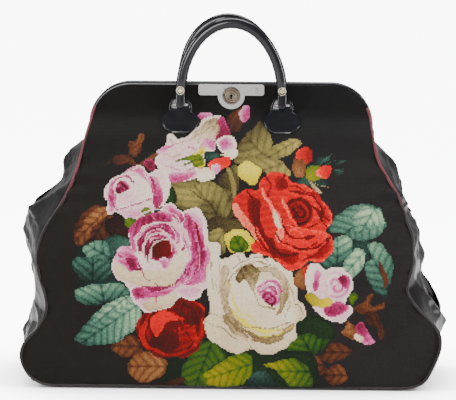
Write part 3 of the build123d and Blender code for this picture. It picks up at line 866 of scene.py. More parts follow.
W, G = Wool, Grain
PATCHES = (
    # leaves and sprigs behind the flowers, left side
    Patch(W.TEAL, 0.05, 0.2, 0, (-166, 150, -150, 160, -130, 166, -108, 162, -104, 150, -122, 140, -126,
        124, -108, 108, -112, 96, -140, 92, -160, 104, -164, 128)),
    Patch(W.BROWN, 0.2, 0.5, 60, (-168, 168, -160, 184, -148, 196, -136, 194, -128, 186, -116, 184, -108,
        176, -114, 166, -130, 160, -146, 158, -160, 156), G.VEINED),
    Patch(W.BROWN, 0.05, 0.2, 0, (-134, 178, -120, 186, -108, 180, -104, 168, -112, 162, -128, 164)),
    Patch(W.BROWN, 0.55, 0.85, 45, (-168, 160, -158, 176, -146, 190, -134, 194, -132, 186, -144, 176, -150,
        164, -160, 154), G.VEINED),
    Patch(W.TEAL, 0.3, 0.5, 0, (-136, 158, -128, 164, -114, 164, -106, 159, -106, 150, -118, 146, -130,
        148)),
    Patch(W.TEAL, 0.75, 0.45, -30, (-158, 150, -146, 159, -134, 158, -126, 150, -124, 142, -130, 136, -142,
        140, -152, 142), G.VEINED),
    Patch(W.TEAL, 0.5, 0.2, -90, (-168, 138, -152, 142, -134, 138, -124, 130, -128, 120, -142, 114, -158,
        118, -168, 128), G.VEINED),
    Patch(W.TEAL, 0.75, 0.35, -80, (-166, 104, -150, 111, -136, 114, -120, 114, -108, 108, -106, 100, -120,
        97, -138, 92, -154, 90, -164, 96), G.VEINED),
    Patch(W.TEAL, 0.45, 0.85, 35, (-166, 54, -156, 68, -146, 78, -134, 90, -118, 98, -106, 99, -98, 92, -94,
        80, -100, 66, -110, 58, -122, 50, -140, 47, -156, 48), G.VEINED),
    Patch(W.TEAL, 0.75, 0.95, 40, (-146, 76, -134, 89, -118, 97, -108, 97, -112, 88, -124, 84, -134, 76,
        -142, 70), G.VEINED),
    Patch(W.BROWN, 0.35, 0.75, 0, (-126, 247, -116, 250, -108, 247, -98, 241, -90, 247, -80, 252, -76, 249,
        -86, 243, -92, 236, -100, 236, -108, 240, -118, 238, -126, 240), G.STREAKED),
    Patch(W.BROWN, 0.5, 0.8, 60, (-108, 261, -102, 264, -96, 270, -91, 268, -96, 260, -97, 251, -101, 246,
        -108, 250), G.STREAKED),
    Patch(W.ROSE, 0.1, 0.2, 90, (-92, 244, -84, 245, -80, 240, -84, 234, -90, 236)),
    # olive leaves behind the middle
    Patch(W.OLIVE, 0.55, 0.2, -60, (-62, 222, -48, 222, -34, 228, -24, 224, -12, 220, -2, 232, 6, 240, 10,
        226, 6, 208, 4, 190, -2, 176, -14, 172, -24, 182, -30, 192, -44, 191, -56, 196, -66, 204, -68, 214),
        G.VEINED),
    Patch(W.OLIVE, 0.75, 0.5, -50, (-58, 214, -42, 219, -26, 221, -10, 218, -2, 204, 0, 190, -8, 186, -12,
        200, -24, 202, -34, 196, -48, 198, -56, 204), G.VEINED),
    Patch(W.GREEN, 0.3, 0.1, 0, (-72, 206, -66, 214, -60, 216, -56, 206, -60, 198, -68, 200)),
    Patch(W.OLIVE, 0.15, 0.35, 0, (-14, 222, -4, 234, 4, 236, 10, 222, 6, 212, -4, 214)),
    Patch(W.OLIVE, 0.75, 0.75, 0, (-5, 236, -1, 237, 5, 222, 7, 206, 4, 206, 1, 220)),
    Patch(W.OLIVE, 0.3, 0.7, -45, (4, 244, 8, 256, 12, 268, 22, 276, 32, 284, 39, 276, 46, 264, 40, 254, 28,
        248, 16, 240), G.VEINED),
    Patch(W.OLIVE, 0.55, 0.95, 30, (26, 246, 38, 254, 52, 262, 68, 267, 75, 264, 68, 254, 56, 248, 42, 246),
        G.VEINED),
    Patch(W.OLIVE, 0.65, 0.8, 20, (20, 244, 34, 247, 48, 247, 60, 240, 66, 230, 56, 228, 42, 230, 28, 236),
        G.VEINED),
    Patch(W.GOLD, 0.75, 0.95, 90, (9, 238, 15, 243, 24, 242, 33, 235, 30, 224, 22, 220, 14, 225, 9, 231)),
    Patch(W.OLIVE, 0.1, 0.3, 0, (-24, 180, -12, 186, 4, 184, 14, 178, 12, 168, 0, 162, -14, 164, -24, 170)),
    Patch(W.OLIVE, 0.5, 0.75, 60, (-22, 160, -22, 169, -14, 173, -6, 171, -4, 160, -6, 148, -12, 146, -18,
        150), G.VEINED),
    Patch(W.GOLD, 0.7, 0.9, 90, (-5, 166, 1, 172, 10, 174, 19, 169, 26, 161, 26, 152, 16, 148, 6, 148, -1,
        152)),
    Patch(W.GREEN, 0.65, 0.5, -60, (2, 164, 10, 166, 18, 162, 22, 154, 14, 148, 6, 149, 1, 154), G.VEINED),
    Patch(W.ROSE, 0.35, 0.6, 60, (-35, 291, -28, 293, -21, 291, -24, 286, -29, 283, -34, 287)),
    Patch(W.BROWN, 0.35, 0.65, 70, (-4, 284, -2, 292, 6, 296, 13, 300, 20, 297, 18, 288, 13, 281, 8, 273, 3,
        274, -2, 278), G.STREAKED),
    Patch(W.ROSE, 0.35, 0.7, 160, (9, 292, 13, 301, 20, 299, 19, 290, 15, 284, 11, 287)),
    # sprigs and buds, upper right
    Patch(W.TEAL, 0.1, 0.5, 0, (84, 238, 92, 246, 100, 248, 106, 250, 104, 246, 98, 242, 92, 240)),
    Patch(W.TEAL, 0.15, 0.5, 0, (110, 242, 118, 245, 123, 244, 118, 241, 112, 239)),
    Patch(W.TEAL, 0.15, 0.5, 0, (108, 233, 116, 236, 122, 235, 116, 232)),
    Patch(W.TEAL, 0.4, 0.2, 0, (72, 222, 80, 230, 90, 226, 100, 226, 106, 222, 98, 216, 88, 220, 80, 216)),
    Patch(W.IVORY, 0.3, 0.6, 0, (84, 222, 90, 222, 97, 214, 99, 211, 95, 211, 89, 216)),
    Patch(W.BROWN, 0.95, 0.6, 60, (66, 240, 68, 248, 76, 252, 84, 248, 82, 238, 78, 230, 72, 228, 68, 233)),
    Patch(W.RED, 0.75, 0.4, 0, (70, 248, 72, 254, 79, 258, 87, 255, 87, 246, 82, 241, 79, 247, 74, 247)),
    Patch(W.GREEN, 0.75, 0.95, -120, (80, 230, 84, 238, 92, 241, 98, 238, 98, 228, 90, 223, 83, 225)),
    Patch(W.RED, 0.95, 0.55, 0, (92, 236, 98, 240, 106, 240, 108, 232, 102, 227, 94, 228, 91, 231)),
    # leaves, right side
    Patch(W.TEAL, 0.15, 0.3, 0, (76, 142, 92, 142, 108, 148, 118, 156, 134, 160, 150, 162, 150, 146, 136,
        124, 118, 124, 96, 132, 80, 132)),
    Patch(W.TEAL, 0.5, 0.65, 40, (107, 176, 112, 185, 120, 191, 128, 197, 140, 199, 152, 200, 160, 195, 165,
        186, 167, 175, 160, 168, 150, 163, 138, 161, 124, 168, 112, 170), G.VEINED),
    Patch(W.TEAL, 0.65, 0.95, 60, (131, 178, 134, 190, 143, 197, 154, 197, 163, 188, 165, 177, 156, 178,
        148, 174, 138, 170), G.VEINED),
    Patch(W.TEAL, 0.85, 0.4, -90, (110, 150, 112, 160, 117, 166, 127, 167, 133, 161, 131, 151, 124, 142,
        114, 135, 102, 133, 99, 140, 106, 144), G.VEINED),
    Patch(W.TEAL, 0.75, 0.35, -60, (147, 156, 155, 161, 164, 156, 171, 147, 176, 135, 175, 122, 170, 112,
        171, 102, 162, 103, 153, 112, 147, 124, 145, 136, 152, 144), G.VEINED),
    Patch(W.BROWN, 0.5, 0.6, 0, (160, 140, 164, 136, 170, 122, 168, 112, 164, 122, 160, 132)),
    Patch(W.TEAL, 0.8, 1.0, 50, (120, 128, 124, 140, 130, 149, 138, 155, 145, 150, 146, 141, 141, 130, 135,
        122, 127, 121), G.VEINED),
    Patch(W.BROWN, 0.5, 0.7, 0, (132, 88, 141, 93, 148, 102, 154, 106, 155, 100, 150, 92, 160, 92, 166, 97,
        165, 88, 156, 86, 146, 84), G.STREAKED),
    Patch(W.BROWN, 0.35, 0.5, -80, (148, 86, 158, 84, 164, 72, 167, 60, 163, 57, 160, 68, 150, 74),
        G.STREAKED),
    Patch(W.GREEN, 0.7, 0.6, 0, (129, 100, 134, 105, 139, 102, 136, 97, 132, 93)),
    Patch(W.BROWN, 0.85, 0.6, 0, (122, 62, 126, 72, 130, 77, 136, 70, 146, 66, 150, 54, 138, 54, 130, 58),
        G.STREAKED),
    Patch(W.ROSE, 0.2, 0.5, -70, (137, 68, 142, 75, 148, 68, 153, 58, 158, 54, 148, 51, 143, 56)),
    Patch(W.IVORY, 0.9, 0.7, 0, (134, 60, 139, 63, 146, 57, 144, 52, 138, 54)),
    Patch(W.BROWN, 0.45, 0.5, 0, (100, 34, 104, 45, 112, 52, 120, 53, 128, 48, 134, 44, 126, 38, 117, 33,
        108, 31), G.VEINED),
    Patch(W.BROWN, 0.6, 0.45, 0, (85, 34, 93, 39, 100, 38, 103, 30, 107, 24, 101, 17, 93, 15, 88, 24),
        G.VEINED),
    Patch(W.BROWN, 0.45, 0.65, 0, (103, 20, 111, 27, 120, 29, 127, 22, 129, 13, 122, 7, 113, 5, 105, 11),
        G.VEINED),
    Patch(W.GREEN, 0.02, 0.12, 0, (70, 84, 84, 82, 98, 80, 112, 72, 116, 60, 106, 54, 88, 56, 74, 64)),
    Patch(W.GREEN, 0.45, 0.25, -60, (58, 46, 70, 58, 86, 61, 100, 57, 110, 55, 102, 46, 92, 39, 78, 37, 66,
        38), G.VEINED),
    Patch(W.GREEN, 0.0, 0.1, 0, (-60, 34, -50, 50, -20, 56, 20, 44, 60, 44, 90, 40, 96, 26, 92, 4, 40, 3,
        -20, 3, -70, 6, -72, 20)),
    Patch(W.GREEN, 0.5, 0.4, 70, (-52, 8, -49, 24, -43, 36, -35, 45, -27, 52, -14, 51, -6, 44, -2, 36, -10,
        29, -20, 22, -24, 12, -22, 3, -40, 3), G.VEINED),
    Patch(W.GREEN, 0.95, 0.6, 20, (-26, 15, -15, 24, -5, 32, 5, 37, 15, 40, 24, 38, 27, 30, 26, 18, 23, 8,
        12, 4, -6, 3, -22, 4), G.VEINED),
    Patch(W.GREEN, 0.95, 0.5, 0, (38, 28, 48, 31, 60, 34, 74, 33, 84, 28, 89, 20, 92, 10, 88, 4, 68, 4, 60,
        12, 52, 21), G.VEINED),
    Patch(W.TEAL, 0.1, 0.4, 90, (20, 4, 24, 16, 34, 22, 44, 16, 52, 8, 50, 3)),
    Patch(W.BROWN, 0.2, 0.45, 0, (-82, 4, -66, 8, -50, 14, -46, 8, -58, 3)),
    # ochre leaves, lower left
    Patch(W.BROWN, 0.6, 0.5, 0, (-127, 46, -120, 51, -112, 56, -103, 59, -97, 52, -93, 43, -100, 37, -112,
        35, -122, 39), G.VEINED),
    Patch(W.BROWN, 0.7, 0.85, 0, (-108, 23, -105, 33, -97, 39, -88, 40, -79, 38, -71, 33, -66, 27, -68, 18,
        -76, 11, -87, 7, -98, 9, -106, 15), G.VEINED),
    # deep red rose
    Patch(W.MADDER, 0.45, 0.55, 0, (-99, 64, -97, 76, -90, 84, -78, 86, -64, 88, -54, 97, -45, 99, -35, 96,
        -27, 88, -25, 74, -26, 60, -30, 48, -38, 40, -46, 36, -58, 34, -70, 34, -80, 37, -90, 44, -97, 54),
        G.PETALS),
    Patch(W.MADDER, 0.4, 0.2, -90, (-62, 94, -50, 98, -36, 94, -28, 84, -32, 72, -44, 70, -56, 80),
        G.STREAKED),
    Patch(W.MADDER, 0.75, 0.7, 0, (-96, 60, -93, 70, -88, 74, -90, 60, -86, 48, -80, 42, -88, 44, -95, 52)),
    Patch(W.MADDER, 0.15, 0.25, 0, (-84, 56, -76, 64, -64, 66, -54, 60, -52, 50, -60, 42, -74, 41, -83,
        46)),
    Patch(W.MADDER, 0.95, 0.85, -90, (-83, 76, -76, 83, -66, 84, -58, 80, -56, 74, -64, 73, -70, 70, -72,
        62, -79, 57, -84, 66)),
    Patch(W.MADDER, 0.35, 0.35, 0, (-70, 68, -62, 74, -54, 72, -56, 66, -64, 64)),
    Patch(W.MADDER, 0.55, 0.7, 0, (-52, 60, -46, 70, -38, 68, -32, 56, -38, 44, -48, 42, -52, 50),
        G.STREAKED),
    # open rose, top
    Patch(W.ROSE, 0.95, 1.0, 90, (-81, 243, -77, 250, -79, 255, -73, 258, -68, 262, -69, 269, -63, 271, -56,
        267, -46, 270, -38, 277, -30, 285, -19, 290, -9, 290, -5, 281, 0, 272, -12, 268, -18, 262, -17, 255,
        -27, 252, -28, 242, -34, 233, -36, 228, -44, 223, -58, 221, -66, 226, -70, 232, -77, 237)),
    Patch(W.IVORY, 0.75, 0.35, 70, (-44, 268, -36, 276, -27, 284, -16, 289, -12, 282, -14, 272, -22, 264,
        -34, 262), G.STREAKED),
    Patch(W.ROSE, 0.7, 0.35, -90, (-66, 229, -58, 232, -46, 233, -36, 235, -37, 229, -44, 224, -54, 221,
        -62, 222)),
    Patch(W.ROSE, 0.7, 0.45, 0, (-79, 252, -74, 258, -66, 260, -60, 261, -66, 256, -73, 252)),
    Patch(W.ROSE, 0.35, 0.15, -90, (-16, 284, -9, 290, -4, 282, 1, 272, -8, 267, -16, 266, -13, 276)),
    Patch(W.ROSE, 0.75, 0.5, 0, (-32, 264, -24, 268, -16, 262, -18, 255, -27, 258)),
    Patch(W.ROSE, 0.85, 1.0, 90, (-15, 263, -10, 269, -2, 270, 5, 267, 8, 261, 3, 255, -6, 253, -12, 256)),
    Patch(W.ROSE, 0.45, 0.6, 0, (-12, 262, -7, 267, 0, 266, 3, 261, -3, 256, -9, 257)),
    Patch(W.IVORY, 0.85, 0.95, 0, (-13, 251, -5, 252, 3, 257, 8, 254, 5, 248, 0, 246, -6, 248)),
    Patch(W.TEAL, 0.25, 0.4, 0, (-27, 252, -18, 253, -12, 251, -14, 246, -22, 244, -28, 246)),
    Patch(W.GOLD, 0.75, 0.9, 90, (-42, 248, -36, 254, -28, 259, -26, 253, -30, 249, -28, 240, -32, 236, -38,
        240)),
    Patch(W.GREEN, 0.75, 0.85, 0, (-58, 244, -48, 248, -38, 249, -30, 248, -30, 240, -37, 238, -44, 243)),
    Patch(W.RED, 0.85, 0.6, 60, (-24, 241, -16, 246, -6, 247, 1, 247, -1, 240, -8, 237, -14, 231, -20, 231,
        -23, 236)),
    Patch(W.ROSE, 0.75, 0.6, 0, (-20, 238, -12, 240, -10, 234, -16, 230, -20, 232)),
    Patch(W.IVORY, 0.9, 0.95, 0, (-37, 227, -34, 234, -26, 236, -18, 233, -17, 227, -24, 223, -32, 223)),
    # pale rose, left
    Patch(W.ROSE, 0.85, 0.95, 0, (-134, 209, -132, 219, -124, 226, -117, 229, -110, 232, -106, 237, -100,
        239, -94, 237, -87, 231, -81, 235, -73, 235, -66, 229, -63, 220, -66, 209, -69, 199, -78, 194, -82,
        188, -90, 184, -100, 180, -109, 182, -116, 186, -122, 190, -130, 187, -133, 193, -130, 199, -134,
        204)),
    Patch(W.ROSE, 0.3, 0.6, 60, (-112, 231, -106, 237, -98, 238, -90, 232, -84, 224, -80, 212, -82, 204,
        -86, 212, -90, 222, -98, 229, -106, 231)),
    Patch(W.ROSE, 0.6, 0.3, -60, (-88, 228, -80, 226, -74, 216, -71, 204, -76, 196, -82, 192, -83, 204, -82,
        216)),
    Patch(W.ROSE, 0.5, 0.7, 0, (-131, 212, -128, 221, -118, 227, -108, 229, -104, 224, -112, 218, -120, 208,
        -122, 198, -127, 190, -130, 200), G.STREAKED),
    Patch(W.ROSE, 0.92, 1.0, 0, (-122, 206, -118, 216, -108, 226, -98, 227, -88, 220, -84, 210, -84, 203,
        -96, 199, -110, 195, -120, 196)),
    Patch(W.ROSE, 0.85, 0.9, 0, (-126, 214, -121, 223, -112, 225, -106, 220, -107, 212, -114, 208, -122,
        208)),
    Patch(W.ROSE, 0.05, 0.25, 90, (-123, 213, -118, 221, -111, 221, -108, 215, -113, 210, -120, 209),
        G.PETALS),
    Patch(W.ROSE, 0.9, 0.75, -90, (-120, 190, -108, 194, -94, 196, -84, 200, -79, 196, -84, 188, -92, 183,
        -102, 181, -112, 185)),
    Patch(W.GREEN, 0.8, 0.5, -60, (-95, 192, -89, 196, -84, 192, -83, 186, -89, 184)),
    Patch(W.GREEN, 0.75, 0.5, 0, (-112, 183, -104, 184, -98, 179, -103, 172, -110, 174)),
    # great pink rose
    Patch(W.ROSE, 0.85, 0.98, 45, (-85, 181, -77, 189, -71, 197, -63, 199, -56, 194, -50, 191, -40, 194,
        -32, 193, -27, 183, -24, 172, -22, 161, -14, 160, -10, 151, -11, 140, -18, 126, -21, 112, -29, 105,
        -37, 97, -46, 97, -53, 100, -59, 92, -66, 87, -78, 85, -89, 84, -97, 89, -105, 97, -107, 108, -113,
        114, -120, 118, -127, 128, -125, 137, -121, 146, -114, 152, -107, 154, -108, 166, -104, 175, -98,
        181, -92, 184)),
    Patch(W.ROSE, 0.25, 0.6, 120, (-84, 184, -76, 190, -68, 196, -60, 196, -54, 190, -50, 182, -58, 176,
        -70, 180), G.STREAKED),
    Patch(W.ROSE, 0.2, 0.75, 55, (-50, 178, -46, 190, -36, 190, -30, 182, -27, 168, -26, 152, -32, 148, -38,
        158, -44, 168)),
    Patch(W.RED, 0.15, 0.25, 0, (-42, 172, -36, 180, -32, 168, -33, 156, -38, 160)),
    Patch(W.ROSE, 0.7, 0.4, 180, (-30, 152, -22, 156, -16, 150, -14, 138, -20, 126, -26, 118, -38, 114, -48,
        112, -40, 120, -33, 132, -32, 144)),
    Patch(W.ROSE, 0.2, 0.4, -70, (-32, 150, -26, 150, -26, 138, -32, 126, -42, 117, -50, 114, -40, 124, -35,
        136)),
    Patch(W.ROSE, 0.45, 0.8, -60, (-123, 142, -119, 151, -110, 153, -102, 148, -100, 140, -108, 134, -118,
        136), G.STREAKED),
    Patch(W.ROSE, 0.75, 0.5, -30, (-106, 156, -106, 170, -98, 180, -84, 184, -66, 182, -52, 176, -42, 166,
        -37, 152, -36, 138, -42, 126, -50, 120, -44, 134, -46, 150, -54, 166, -68, 176, -86, 176, -98, 168,
        -102, 156)),
    Patch(W.ROSE, 0.35, 0.75, 0, (-98, 150, -99, 162, -92, 172, -80, 178, -66, 176, -57, 168, -52, 156, -56,
        150, -66, 160, -80, 158, -88, 150, -90, 138), G.PETALS),
    Patch(W.ROSE, 0.02, 0.2, 90, (-97, 152, -95, 162, -88, 166, -89, 156, -92, 146, -90, 136, -84, 132, -94,
        138)),
    Patch(W.ROSE, 0.8, 0.95, 0, (-84, 164, -76, 171, -66, 170, -60, 164, -68, 162, -78, 162)),
    Patch(W.ROSE, 0.08, 0.18, 90, (-83, 148, -79, 156, -70, 158, -61, 158, -55, 152, -60, 147, -66, 142,
        -70, 137, -77, 138)),
    Patch(W.ROSE, 0.45, 0.6, 0, (-74, 138, -69, 142, -62, 143, -63, 136, -68, 131)),
    Patch(W.ROSE, 0.05, 0.15, 90, (-106, 136, -103, 142, -98, 138, -93, 129, -99, 127)),
    Patch(W.ROSE, 0.9, 1.0, 90, (-100, 140, -95, 148, -90, 142, -86, 134, -92, 130, -98, 132)),
    Patch(W.IVORY, 0.62, 0.82, 90, (-126, 130, -118, 133, -106, 128, -94, 127, -80, 128, -68, 130, -60, 142,
        -52, 151, -45, 146, -43, 134, -48, 122, -58, 114, -70, 109, -86, 109, -100, 113, -116, 119)),
    Patch(W.ROSE, 0.35, 0.65, -120, (-100, 107, -88, 110, -76, 111, -64, 108, -68, 104, -80, 101, -88, 94,
        -94, 98)),
    Patch(W.ROSE, 0.15, 0.3, 0, (-84, 108, -78, 112, -70, 110, -68, 105, -78, 103)),
    Patch(W.IVORY, 0.55, 0.75, 90, (-92, 90, -85, 98, -72, 103, -60, 106, -56, 101, -60, 93, -67, 88, -78,
        86, -88, 86)),
    Patch(W.ROSE, 0.85, 0.75, 90, (-58, 107, -48, 111, -38, 112, -28, 108, -34, 99, -45, 98, -53, 101)),
    Patch(W.ROSE, 0.55, 0.25, 90, (-107, 156, -106, 174, -95, 184, -78, 189, -62, 184, -55, 171, -53, 153,
        -58, 144, -62, 160, -67, 171, -78, 176, -89, 174, -97, 165, -98, 151, -102, 147), G.STREAKED),
    Patch(W.ROSE, 0.12, 0.4, 60, (-93, 153, -89, 167, -77, 173, -66, 167, -59, 156, -60, 144, -69, 138, -82,
        140, -89, 144), G.STREAKED),
    Patch(W.MADDER, 0.2, 0.45, 0, (-86, 151, -82, 160, -71, 163, -62, 156, -62, 147, -69, 141, -80, 142)),
    Patch(W.ROSE, 0.4, 0.65, 90, (-75, 140, -69, 142, -65, 139, -67, 133, -72, 132)),
    Patch(W.ROSE, 0.3, 0.6, -90, (-49, 189, -38, 182, -35, 163, -30, 145, -35, 127, -46, 116, -58, 109, -53,
        124, -44, 138, -41, 156, -46, 174), G.STREAKED),
    Patch(W.ROSE, 0.3, 0.5, 0, (-104, 107, -97, 110, -84, 106, -69, 108, -58, 112, -62, 104, -75, 99, -89,
        100, -100, 98), G.STREAKED),
    Patch(W.ROSE, 0.7, 0.3, -20, (-122, 147, -113, 153, -104, 147, -97, 134, -104, 127, -113, 131, -120,
        138), G.STREAKED),
    Patch(W.ROSE, 0.08, 0.2, 0, (-111, 140, -102, 140, -98, 130, -106, 129)),
    # red rose
    Patch(W.RED, 0.62, 0.72, 0, (2, 196, 5, 205, 11, 213, 20, 216, 29, 214, 32, 222, 38, 230, 47, 234, 56,
        232, 64, 225, 74, 221, 85, 217, 94, 211, 101, 201, 110, 191, 109, 181, 104, 172, 110, 166, 112, 155,
        107, 144, 97, 138, 84, 140, 77, 132, 66, 130, 56, 135, 50, 142, 42, 144, 34, 146, 26, 150, 23, 156,
        28, 161, 20, 172, 12, 180, 5, 188), G.STREAKED),
    Patch(W.RED, 0.3, 0.15, -60, (18, 202, 30, 206, 34, 196, 32, 184, 36, 172, 42, 160, 36, 160, 28, 172,
        22, 184)),
    Patch(W.RED, 0.9, 1.0, 90, (2, 197, 8, 199, 16, 189, 24, 179, 33, 167, 31, 160, 23, 168, 13, 178, 5,
        188)),
    Patch(W.RED, 0.75, 0.7, 0, (12, 190, 20, 186, 28, 176, 34, 164, 38, 158, 34, 168, 27, 178, 20, 184)),
    Patch(W.RED, 0.35, 0.25, 0, (50, 228, 58, 226, 62, 218, 54, 214, 48, 218)),
    Patch(W.RED, 0.95, 0.95, 0, (33, 212, 36, 215, 40, 206, 46, 198, 53, 190, 57, 180, 58, 168, 54, 160, 50,
        166, 52, 176, 46, 188, 40, 200)),
    Patch(W.IVORY, 0.75, 0.85, 0, (45, 188, 46, 195, 50, 192, 54, 182, 54, 173, 49, 178)),
    Patch(W.RED, 0.15, 0.3, 40, (61, 200, 66, 206, 76, 207, 86, 202, 90, 192, 86, 182, 78, 176, 70, 178, 65,
        188), G.PETALS),
    Patch(W.RED, 0.9, 0.75, 0, (55, 206, 58, 203, 64, 190, 70, 180, 77, 171, 72, 174, 66, 182, 60, 192, 56,
        198)),
    Patch(W.RED, 0.35, 0.5, -60, (88, 214, 96, 208, 101, 198, 106, 188, 104, 178, 99, 182, 97, 194, 91, 204,
        84, 210), G.STREAKED),
    Patch(W.RED, 0.72, 0.8, 90, (57, 162, 64, 172, 76, 176, 90, 172, 102, 170, 104, 160, 94, 151, 80, 149,
        68, 152, 58, 156)),
    Patch(W.RED, 0.15, 0.35, 0, (40, 160, 46, 164, 52, 152, 62, 152, 74, 148, 72, 138, 62, 136, 54, 142, 46,
        148)),
    Patch(W.RED, 0.3, 0.45, 60, (84, 146, 94, 150, 104, 160, 109, 158, 105, 148, 96, 143)),
    Patch(W.RED, 0.6, 0.7, 0, (24, 155, 32, 160, 40, 158, 44, 150, 38, 147, 30, 150)),
    # ivory rose
    Patch(W.IVORY, 0.72, 0.92, 90, (-23, 159, -15, 158, -11, 150, -10, 143, -3, 142, 5, 146, 13, 147, 19,
        143, 24, 147, 32, 148, 37, 142, 45, 143, 53, 138, 58, 133, 66, 128, 69, 118, 74, 108, 75, 99, 81,
        92, 84, 84, 81, 78, 74, 73, 72, 66, 73, 58, 67, 50, 59, 44, 49, 39, 40, 38, 32, 42, 24, 44, 16, 40,
        8, 39, 0, 43, -8, 46, -13, 51, -22, 54, -25, 62, -26, 74, -21, 84, -20, 94, -22, 104, -25, 118, -23,
        132, -21, 146)),
    Patch(W.IVORY, 0.28, 0.5, 90, (-5, 122, -8, 108, -6, 94, -1, 82, 8, 70, 18, 62, 30, 56, 44, 54, 56, 57,
        68, 66, 72, 74, 66, 72, 56, 62, 42, 59, 30, 61, 18, 67, 6, 78, -2, 92, -4, 106)),
    Patch(W.IVORY, 0.80, 0.9, 90, (-2, 122, -4, 106, 0, 90, 9, 76, 22, 66, 36, 61, 50, 61, 62, 68, 70, 80,
        72, 96, 70, 112, 64, 124, 52, 132, 36, 138, 18, 138, 6, 132)),
    Patch(W.GOLD, 0.98, 1.0, 0, (0, 92, 8, 78, 20, 68, 36, 62, 50, 63, 60, 70, 48, 67, 34, 68, 20, 74, 8,
        84)),
    Patch(W.IVORY, 0.25, 0.4, 0, (62, 84, 67, 91, 74, 93, 80, 86, 76, 77, 68, 76)),
    Patch(W.IVORY, 0.25, 0.35, 0, (26, 55, 34, 56, 48, 57, 60, 58, 50, 52, 38, 50)),
    Patch(W.IVORY, 0.35, 0.6, 0, (-6, 80, 0, 78, 8, 68, 18, 60, 20, 55, 10, 59, 0, 68)),
    Patch(W.IVORY, 0.4, 0.6, 0, (18, 125, 26, 132, 38, 134, 50, 131, 60, 124, 66, 112, 64, 100, 60, 108, 56,
        118, 46, 126, 32, 127, 24, 120, 22, 112)),
    Patch(W.IVORY, 0.75, 0.9, 0, (28, 118, 36, 126, 48, 126, 57, 118, 60, 106, 54, 112, 46, 120, 36, 120)),
    Patch(W.ROSE, 0.55, 0.72, 90, (30, 110, 36, 118, 47, 121, 56, 116, 59, 106, 56, 96, 48, 91, 40, 95, 34,
        102), G.PETALS),
    Patch(W.ROSE, 0.2, 0.42, 60, (36, 104, 42, 107, 48, 106, 54, 100, 50, 93, 45, 91, 39, 97), G.PETALS),
    Patch(W.IVORY, 0.15, 0.4, -60, (11, 130, 21, 135, 34, 130, 31, 122, 27, 106, 21, 113, 16, 120, 11, 116,
        7, 122), G.STREAKED),
    Patch(W.IVORY, 0.5, 0.3, -90, (49, 134, 60, 125, 64, 109, 60, 91, 51, 80, 55, 98, 56, 113, 52, 124),
        G.STREAKED),
    Patch(W.IVORY, 0.6, 0.35, -90, (-9, 130, -1, 134, 2, 116, 0, 98, 6, 80, 18, 66, 11, 64, -2, 77, -9, 95,
        -10, 113), G.STREAKED),
    Patch(W.IVORY, 0.95, 0.7, 0, (61, 89, 70, 93, 78, 86, 76, 77, 67, 71, 60, 77)),
    # small pink rose, right
    Patch(W.BROWN, 0.85, 0.7, 0, (69, 121, 75, 129, 82, 133, 86, 126, 84, 114, 79, 108, 72, 113)),
    Patch(W.RED, 0.5, 0.4, 0, (79, 130, 84, 136, 87, 130, 86, 118, 82, 122)),
    Patch(W.ROSE, 0.85, 0.98, 90, (83, 130, 88, 136, 97, 136, 103, 131, 111, 133, 121, 132, 129, 125, 133,
        114, 131, 104, 126, 99, 125, 94, 131, 92, 132, 84, 125, 76, 114, 74, 104, 79, 94, 84, 89, 92, 84,
        100, 84, 108, 82, 118)),
    Patch(W.ROSE, 0.25, 0.65, 70, (91, 127, 96, 132, 100, 126, 97, 118, 93, 108, 90, 116)),
    Patch(W.ROSE, 0.7, 0.9, 120, (104, 120, 112, 128, 124, 126, 131, 116, 126, 104, 116, 100, 106, 108),
        G.PETALS),
    Patch(W.ROSE, 0.1, 0.4, 0, (118, 122, 124, 126, 130, 119, 128, 112, 122, 113)),
    Patch(W.ROSE, 0.2, 0.35, 0, (103, 88, 110, 93, 118, 96, 128, 92, 127, 86, 116, 81, 106, 82)),
    Patch(W.GOLD, 0.35, 0.75, 0, (81, 104, 90, 106, 98, 99, 106, 102, 112, 97, 106, 90, 96, 91, 86, 94)),
)

